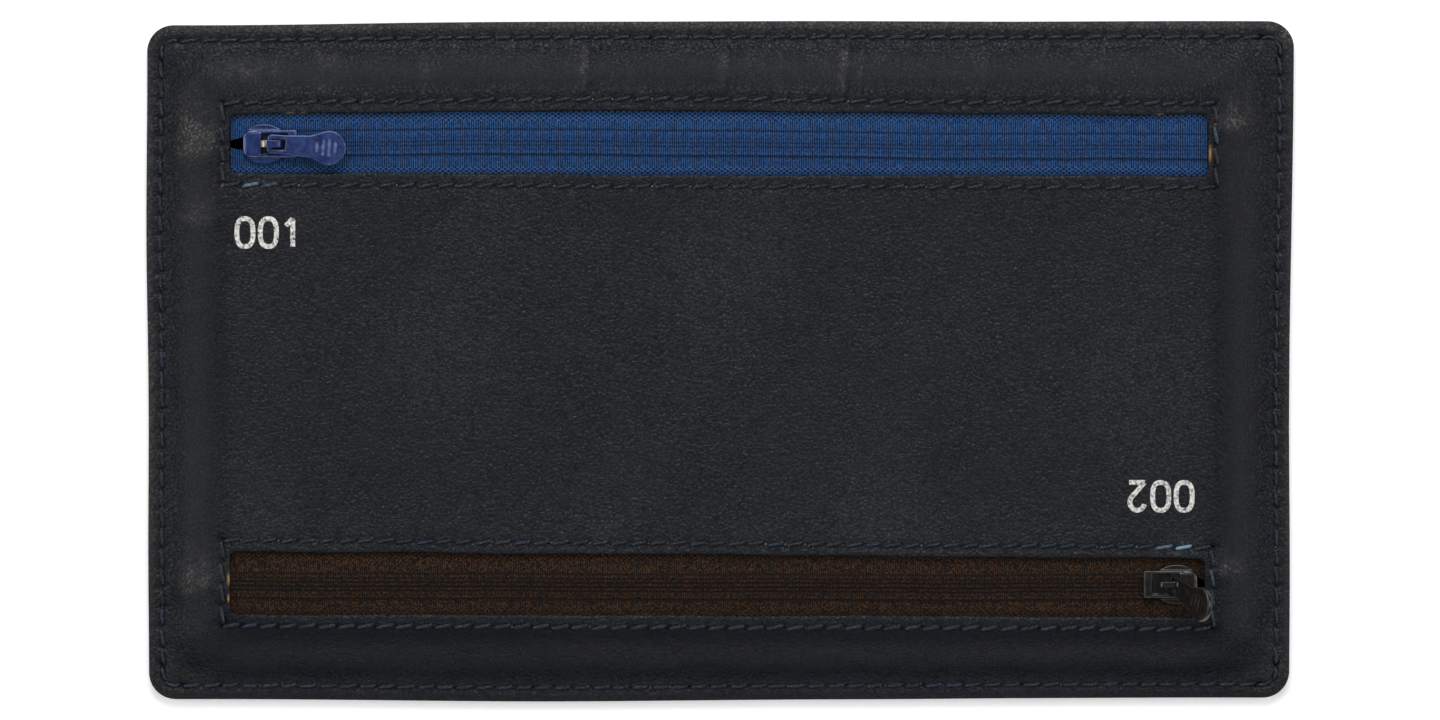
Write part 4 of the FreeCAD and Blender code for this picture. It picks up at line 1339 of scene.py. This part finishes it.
CROWN_WIDTHS = {"zip_1": 1.3, "zip_2": 1.0}
CROWN_FRONT = 3.1
CROWN_BACK = 7.0
CROWN_STRAP = 0.5
WORN_LENGTH = 1.9  # how far back and down the strap is rubbed to bare metal
WORN_DEPTH = 1.6
WORN_SIDES = {"zip_1": -1.0, "zip_2": 0.45}  # and from where across it, in half widths


def make_crown(zip_):
    """Bent strap that holds the pull: rubbed to bare metal at its front."""
    low, high = box_mm(f"{zip_.name}_crown")
    top, foot = high[2], PLATE_TOP - 0.3
    front, back, strap = CROWN_FRONT, CROWN_BACK, CROWN_STRAP
    outer = rounded([(front, foot), (back, foot), (back, top), (front, top)], 1.2, 8)
    outer = outer[outer[:, 1] > foot + 1.5]  # its feet stay square, inside the plate
    outer = np.concatenate([[(back, foot)], outer, [(front, foot)]])
    inner = rounded([(front + strap, foot), (back - strap, foot), (back - strap, top - strap),
                     (front + strap, top - strap)], 0.8, 8)
    inner = inner[inner[:, 1] > foot + 1.2]
    inner = np.concatenate([[(back - strap, foot)], inner, [(front + strap, foot)]])
    count = min(len(outer), len(inner))
    ring = np.concatenate([outer[:count], inner[:count][::-1]])
    half = CROWN_WIDTHS[zip_.name] / 2
    sides = [np.column_stack([ring[:, 0] + zip_.slider_front, np.full(len(ring), side), ring[:, 1]])
             for side in (-half, half)]
    total = 2 * count
    faces = []
    for k in range(total):
        after = (k + 1) % total
        faces.append([k, after, total + after, total + k])
    for k in range(count - 1):
        a, b, c, d = k, k + 1, total - 2 - k, total - 1 - k
        faces.append([a, d, c, b])
        faces.append([total + a, total + b, total + c, total + d])
    points = zip_.place(np.concatenate(sides))
    crown = make_object(f"{zip_.name}_crown_strap", points, faces,
                        [BARE_ZINC, ZIP_PAINTS[zip_.name]["metal"]])
    fix_normals(crown)
    soften(crown, 0.10)
    worn_to = zip_.slider_front + CROWN_FRONT + WORN_LENGTH
    worn_beyond = half * WORN_SIDES[zip_.name]
    for polygon in crown.data.polygons:
        middle = np.array(polygon.center) / MM
        along = (middle[0] - zip_.center[0]) * zip_.turn
        in_front = along < worn_to and middle[2] > top - WORN_DEPTH
        worn = in_front and middle[1] - zip_.center[1] > worn_beyond
        polygon.material_index = 0 if worn else 1
    return piece(crown, f"{zip_.name}_slider", "bare_metal", f"{zip_.name}_crown")


def fix_normals(thing):
    """Point every face outward."""
    mesh = bmesh.new()
    mesh.from_mesh(thing.data)
    bmesh.ops.recalc_face_normals(mesh, faces=mesh.faces)
    mesh.to_mesh(thing.data)
    mesh.free()


PULL_THICK = 1.0
PULL_BAR = 0.9
PULL_ROOT = 1.75
PULL_NECK = 1.95
PULL_LENGTH = 14.2
PULL_END = 3.12
PULL_SLOT_END = 3.35
PULL_SLOT = 0.92
PULL_ROUND = 0.24
# how much the pull's edges and grip bars are lightened, for rub and painted highlight
PULL_WEAR_AND_HIGHLIGHT = {"zip_1": 1.0, "zip_2": 0.5}
PULL_POSES = {  # how each pull lies at rest: degrees sideways, shift along its bar, degrees raised
    "zip_1": (-4.0, 0.0, 0.0), "zip_2": (22.0, -0.55, 121.0),
}
GRIP_BARS = [(8.6, 1.0), (9.7, 1.5), (10.8, 1.6), (11.9, 1.1)]  # place along the pull, half length
GRIP_HALF_WIDTH = 0.26
GRIP_RISE = 0.22


def pull_half_width(along):
    """Half the pull's width at a place along it: a narrow root that flares to a round end."""
    neck = PULL_ROOT + (PULL_NECK - PULL_ROOT) * rise(along, 2.4, 4.2)
    return neck + (PULL_END - PULL_NECK) * rise(along, 6.6, 4.3)


def pull_outline():
    """The pull's outline, measured from its cross bar, with its round end at the far end."""
    start, end = -PULL_BAR / 2, PULL_LENGTH - PULL_BAR / 2
    middle = end - PULL_END
    root = [(start + 0.12, PULL_ROOT - 0.55), (start + 0.5, PULL_ROOT - 0.12)]
    run = np.linspace(start + 0.9, middle, 36)
    upper = root + list(zip(run, pull_half_width(run)))
    turns = np.linspace(math.pi / 2, 0, 20)[1:]
    upper += [(middle + PULL_END * math.cos(a), PULL_END * math.sin(a)) for a in turns]
    lower = [(u, -v) for u, v in upper[::-1][1:]]
    return upper + lower


def closed_loop(curve, outline):
    """Add an outline to a curve."""
    loop = curve.splines.new("POLY")
    loop.points.add(len(outline) - 1)
    for point, (x, y) in zip(loop.points, outline):
        point.co = (x * MM, y * MM, 0, 1)
    loop.use_cyclic_u = True


def make_pull(zip_):
    """Flat tapered pull with a slot for the crown and raised grip bars on its round end."""
    curve = bpy.data.curves.new("pull_outline", "CURVE")
    curve.dimensions = "2D"
    curve.fill_mode = "BOTH"
    curve.extrude = (PULL_THICK / 2 - PULL_ROUND) * MM
    curve.bevel_depth = PULL_ROUND * MM
    curve.bevel_resolution = 4
    curve.offset = -PULL_ROUND * MM
    closed_loop(curve, pull_outline())
    slot = rectangle(PULL_BAR / 2, PULL_SLOT_END - PULL_BAR / 2, PULL_SLOT)
    closed_loop(curve, rounded(slot, 0.25, 4))
    shape = bpy.data.objects.new("pull_shape", curve)
    bpy.context.scene.collection.objects.link(shape)
    flat = bpy.data.meshes.new_from_object(shape.evaluated_get(bpy.context.evaluated_depsgraph_get()))
    bpy.data.objects.remove(shape)
    points = np.array([v.co for v in flat.vertices]) / MM
    parts = [(points, [list(p.vertices) for p in flat.polygons])]
    for face in (1, -1):
        low, high = sorted((face * (PULL_THICK / 2 - 0.2), face * (PULL_THICK / 2 + GRIP_RISE)))
        for along, half in GRIP_BARS:
            bar = rectangle(along - GRIP_HALF_WIDTH, along + GRIP_HALF_WIDTH, half)
            parts.append(prism(rounded(bar, 0.25), low, high))
    vertices, faces = join_parts(parts)
    pull = make_object(f"{zip_.name}_pull_grip", vertices, faces, [ZIP_PAINTS[zip_.name]["metal"]])
    pull.data.set_sharp_from_angle(angle=math.radians(40))
    # rubbed edges and grip bar tops, lightened also as a painted highlight
    heights = np.abs(points_of(pull)[:, 2]) - PULL_THICK / 2
    edges = bell(heights + 0.45 * PULL_ROUND, 0.07)
    add_values(pull, "wear_and_painted_light", PULL_WEAR_AND_HIGHLIGHT[zip_.name] * (edges + 0.8 * rise(heights, 0, 0.2)))
    swing, shift, lift = PULL_POSES[zip_.name]
    turn = Matrix.Rotation(math.pi if zip_.turn < 0 else 0.0, 4, "Z")
    seat = zip_.place([zip_.slider_front + zip_.pivot_back, shift, zip_.pivot_height]) * MM
    pull.data.transform(Matrix.Translation(seat) @ turn @ Matrix.Rotation(math.radians(lift), 4, (0, -1, 0))
                        @ Matrix.Rotation(math.radians(swing), 4, "Z"))
    return piece(pull, f"{zip_.name}_pull", f"{zip_.name}_metal", f"{zip_.name}_pull_tab")


# ---------------------------------------------------------------- foil numerals

NUMERAL_WIDTH = 2.9
NUMERAL_HEIGHT = 5.0
NUMERAL_STEP = 4.2
FOIL_STROKE = 0.86
FOIL_LIFT = 0.035
FOIL_SUNK = 0.05
FOIL_STEP = 0.25
LABELS = [("001", (-80.8, 22.9), 1.0), ("002", (79.2, -24.4), -1.0)]


def numeral_strokes(figure):
    """A figure's strokes as points in a box from 0 to 1 each way."""
    if figure == "0":
        turns = np.linspace(0, 2 * math.pi, 33)
        around = np.column_stack([np.cos(turns), np.sin(turns)])
        return [0.5 + 0.5 * np.copysign(np.abs(around) ** 0.75, around)]
    if figure == "1":
        return [[(0.14, 0.74), (0.36, 0.88), (0.56, 1.0)], [(0.56, 1.0), (0.56, 0.5), (0.56, 0.0)]]
    turns = np.linspace(math.radians(165), math.radians(-38), 15)
    bowl = [(0.5 + 0.46 * math.cos(a), 0.71 + 0.29 * math.sin(a)) for a in turns]
    return [bowl + [(0.45, 0.27), (0.06, 0.0)], [(0.02, 0.0), (0.5, 0.0), (1.0, 0.0)]]


def foil_ribbon(name, path):
    """A strip of foil along a path, pressed onto the grain."""
    path = np.asarray(path, dtype=float)
    far = np.concatenate([[0], np.cumsum(np.linalg.norm(np.diff(path, axis=0), axis=1))])
    steps = max(4, int(far[-1] / FOIL_STEP))
    even = np.linspace(0, far[-1], steps)
    middle = np.column_stack([np.interp(even, far, path[:, i]) for i in (0, 1)])
    ahead = np.gradient(middle, axis=0)
    ahead /= np.linalg.norm(ahead, axis=1, keepdims=True)
    sideways = np.column_stack([-ahead[:, 1], ahead[:, 0]])

    def at(row, column, lift):
        row = np.round(row).astype(int)
        flat = middle[row] + sideways[row] * (column * FOIL_STROKE / 2)[..., None]
        level = front_level(*unsewn(flat[..., 0], flat[..., 1]))[0] + lift
        return np.concatenate([flat, level[..., None]], axis=-1)

    return shell(name, np.arange(steps), np.linspace(1, -1, 5), lambda r, c: at(r, c, FOIL_LIFT),
                 lambda r, c: at(r, c, -FOIL_SUNK), [SILVER_FOIL])


def make_labels():
    for text, (x, y), turn in LABELS:
        for place, figure in enumerate(text):
            for count, stroke in enumerate(numeral_strokes(figure)):
                left = (place - 1) * NUMERAL_STEP - NUMERAL_WIDTH / 2
                path = [(x + turn * (left + u * NUMERAL_WIDTH), y + turn * (v - 0.5) * NUMERAL_HEIGHT)
                        for u, v in stroke]
                ribbon = foil_ribbon(f"foil_{text}_figure_{place + 1}_stroke_{count + 1}", path)
                piece(ribbon, "pouch", "bare_metal")


# ---------------------------------------------------------------- studio

FLOOR_HALF = 4000.0
FLOOR_LEVEL = -0.05
FRAME_WIDTH = 258.5
SUBJECT_LEVEL = 6.0
LENS = 420.0
SENSOR = 36.0
CAMERA_AT = (0.18, 0.05)
LAMPS = [  # name, compass direction it comes from, height angle, side of the square, watts
    ("key_top", 90, 46, 0.9, 13.5),
    ("fill_left", 180, 38, 0.7, 5.2),
    ("fill_right", 0, 38, 0.7, 4.6),
    ("fill_low", 270, 50, 0.9, 2.6),
]
LAMP_DISTANCE = 1.3
WORLD_LIGHT = 0.12


def make_studio():
    corners = [(*corner, FLOOR_LEVEL) for corner in rectangle(-FLOOR_HALF, FLOOR_HALF, FLOOR_HALF)]
    floor = make_object("studio_floor", corners, [[0, 1, 2, 3]], [floor_paint()])
    world = bpy.data.worlds.new("studio")
    world.use_nodes = True
    world.node_tree.nodes["Background"].inputs["Color"].default_value = (1, 1, 1, 1)
    world.node_tree.nodes["Background"].inputs["Strength"].default_value = WORLD_LIGHT
    bpy.context.scene.world = world
    for name, compass, height, side, watts in LAMPS:
        light = bpy.data.lights.new(name, "AREA")
        light.size = side
        light.energy = watts
        lamp = bpy.data.objects.new(name, light)
        a, b = math.radians(compass), math.radians(height)
        away = Vector((math.cos(a) * math.cos(b), math.sin(a) * math.cos(b), math.sin(b)))
        lamp.location = away * LAMP_DISTANCE
        lamp.rotation_euler = away.to_track_quat("Z", "Y").to_euler()
        bpy.context.scene.collection.objects.link(lamp)


def make_camera():
    data = bpy.data.cameras.new("camera")
    data.lens = LENS
    data.sensor_width = SENSOR
    data.clip_start = 0.01
    camera = bpy.data.objects.new("camera", data)
    camera.location = Vector((*CAMERA_AT, SUBJECT_LEVEL + FRAME_WIDTH * LENS / SENSOR)) * MM
    bpy.context.scene.collection.objects.link(camera)
    bpy.context.scene.camera = camera
    bpy.context.scene.view_settings.view_transform = "Standard"


# ---------------------------------------------------------------- build everything

make_front()
BACK = make_back()
make_linings()
make_stitching("edge_stitches", EDGE_RUNS, thread_rest, 61, "perimeter_stitching")
make_stitching("edge_stitches_behind", EDGE_RUNS, back_thread_rest, 62, upward=-1.0)
for zip_, runs in zip(ZIPS, WINDOW_RUNS):
    make_stitching(f"{zip_.name}_window_stitches", runs, thread_rest, 63, f"{zip_.name}_window_stitching")
    make_tapes(zip_)
    make_chain(zip_)
    make_coils(zip_)
    make_slider(zip_)
    make_crown(zip_)
    make_pull(zip_)
    pin = frame["nodes"][f"{zip_.name}_lock_pin"]
    pin.data.materials.clear()
    pin.data.materials.append(BARE_ZINC)
make_labels()
make_studio()
make_camera()
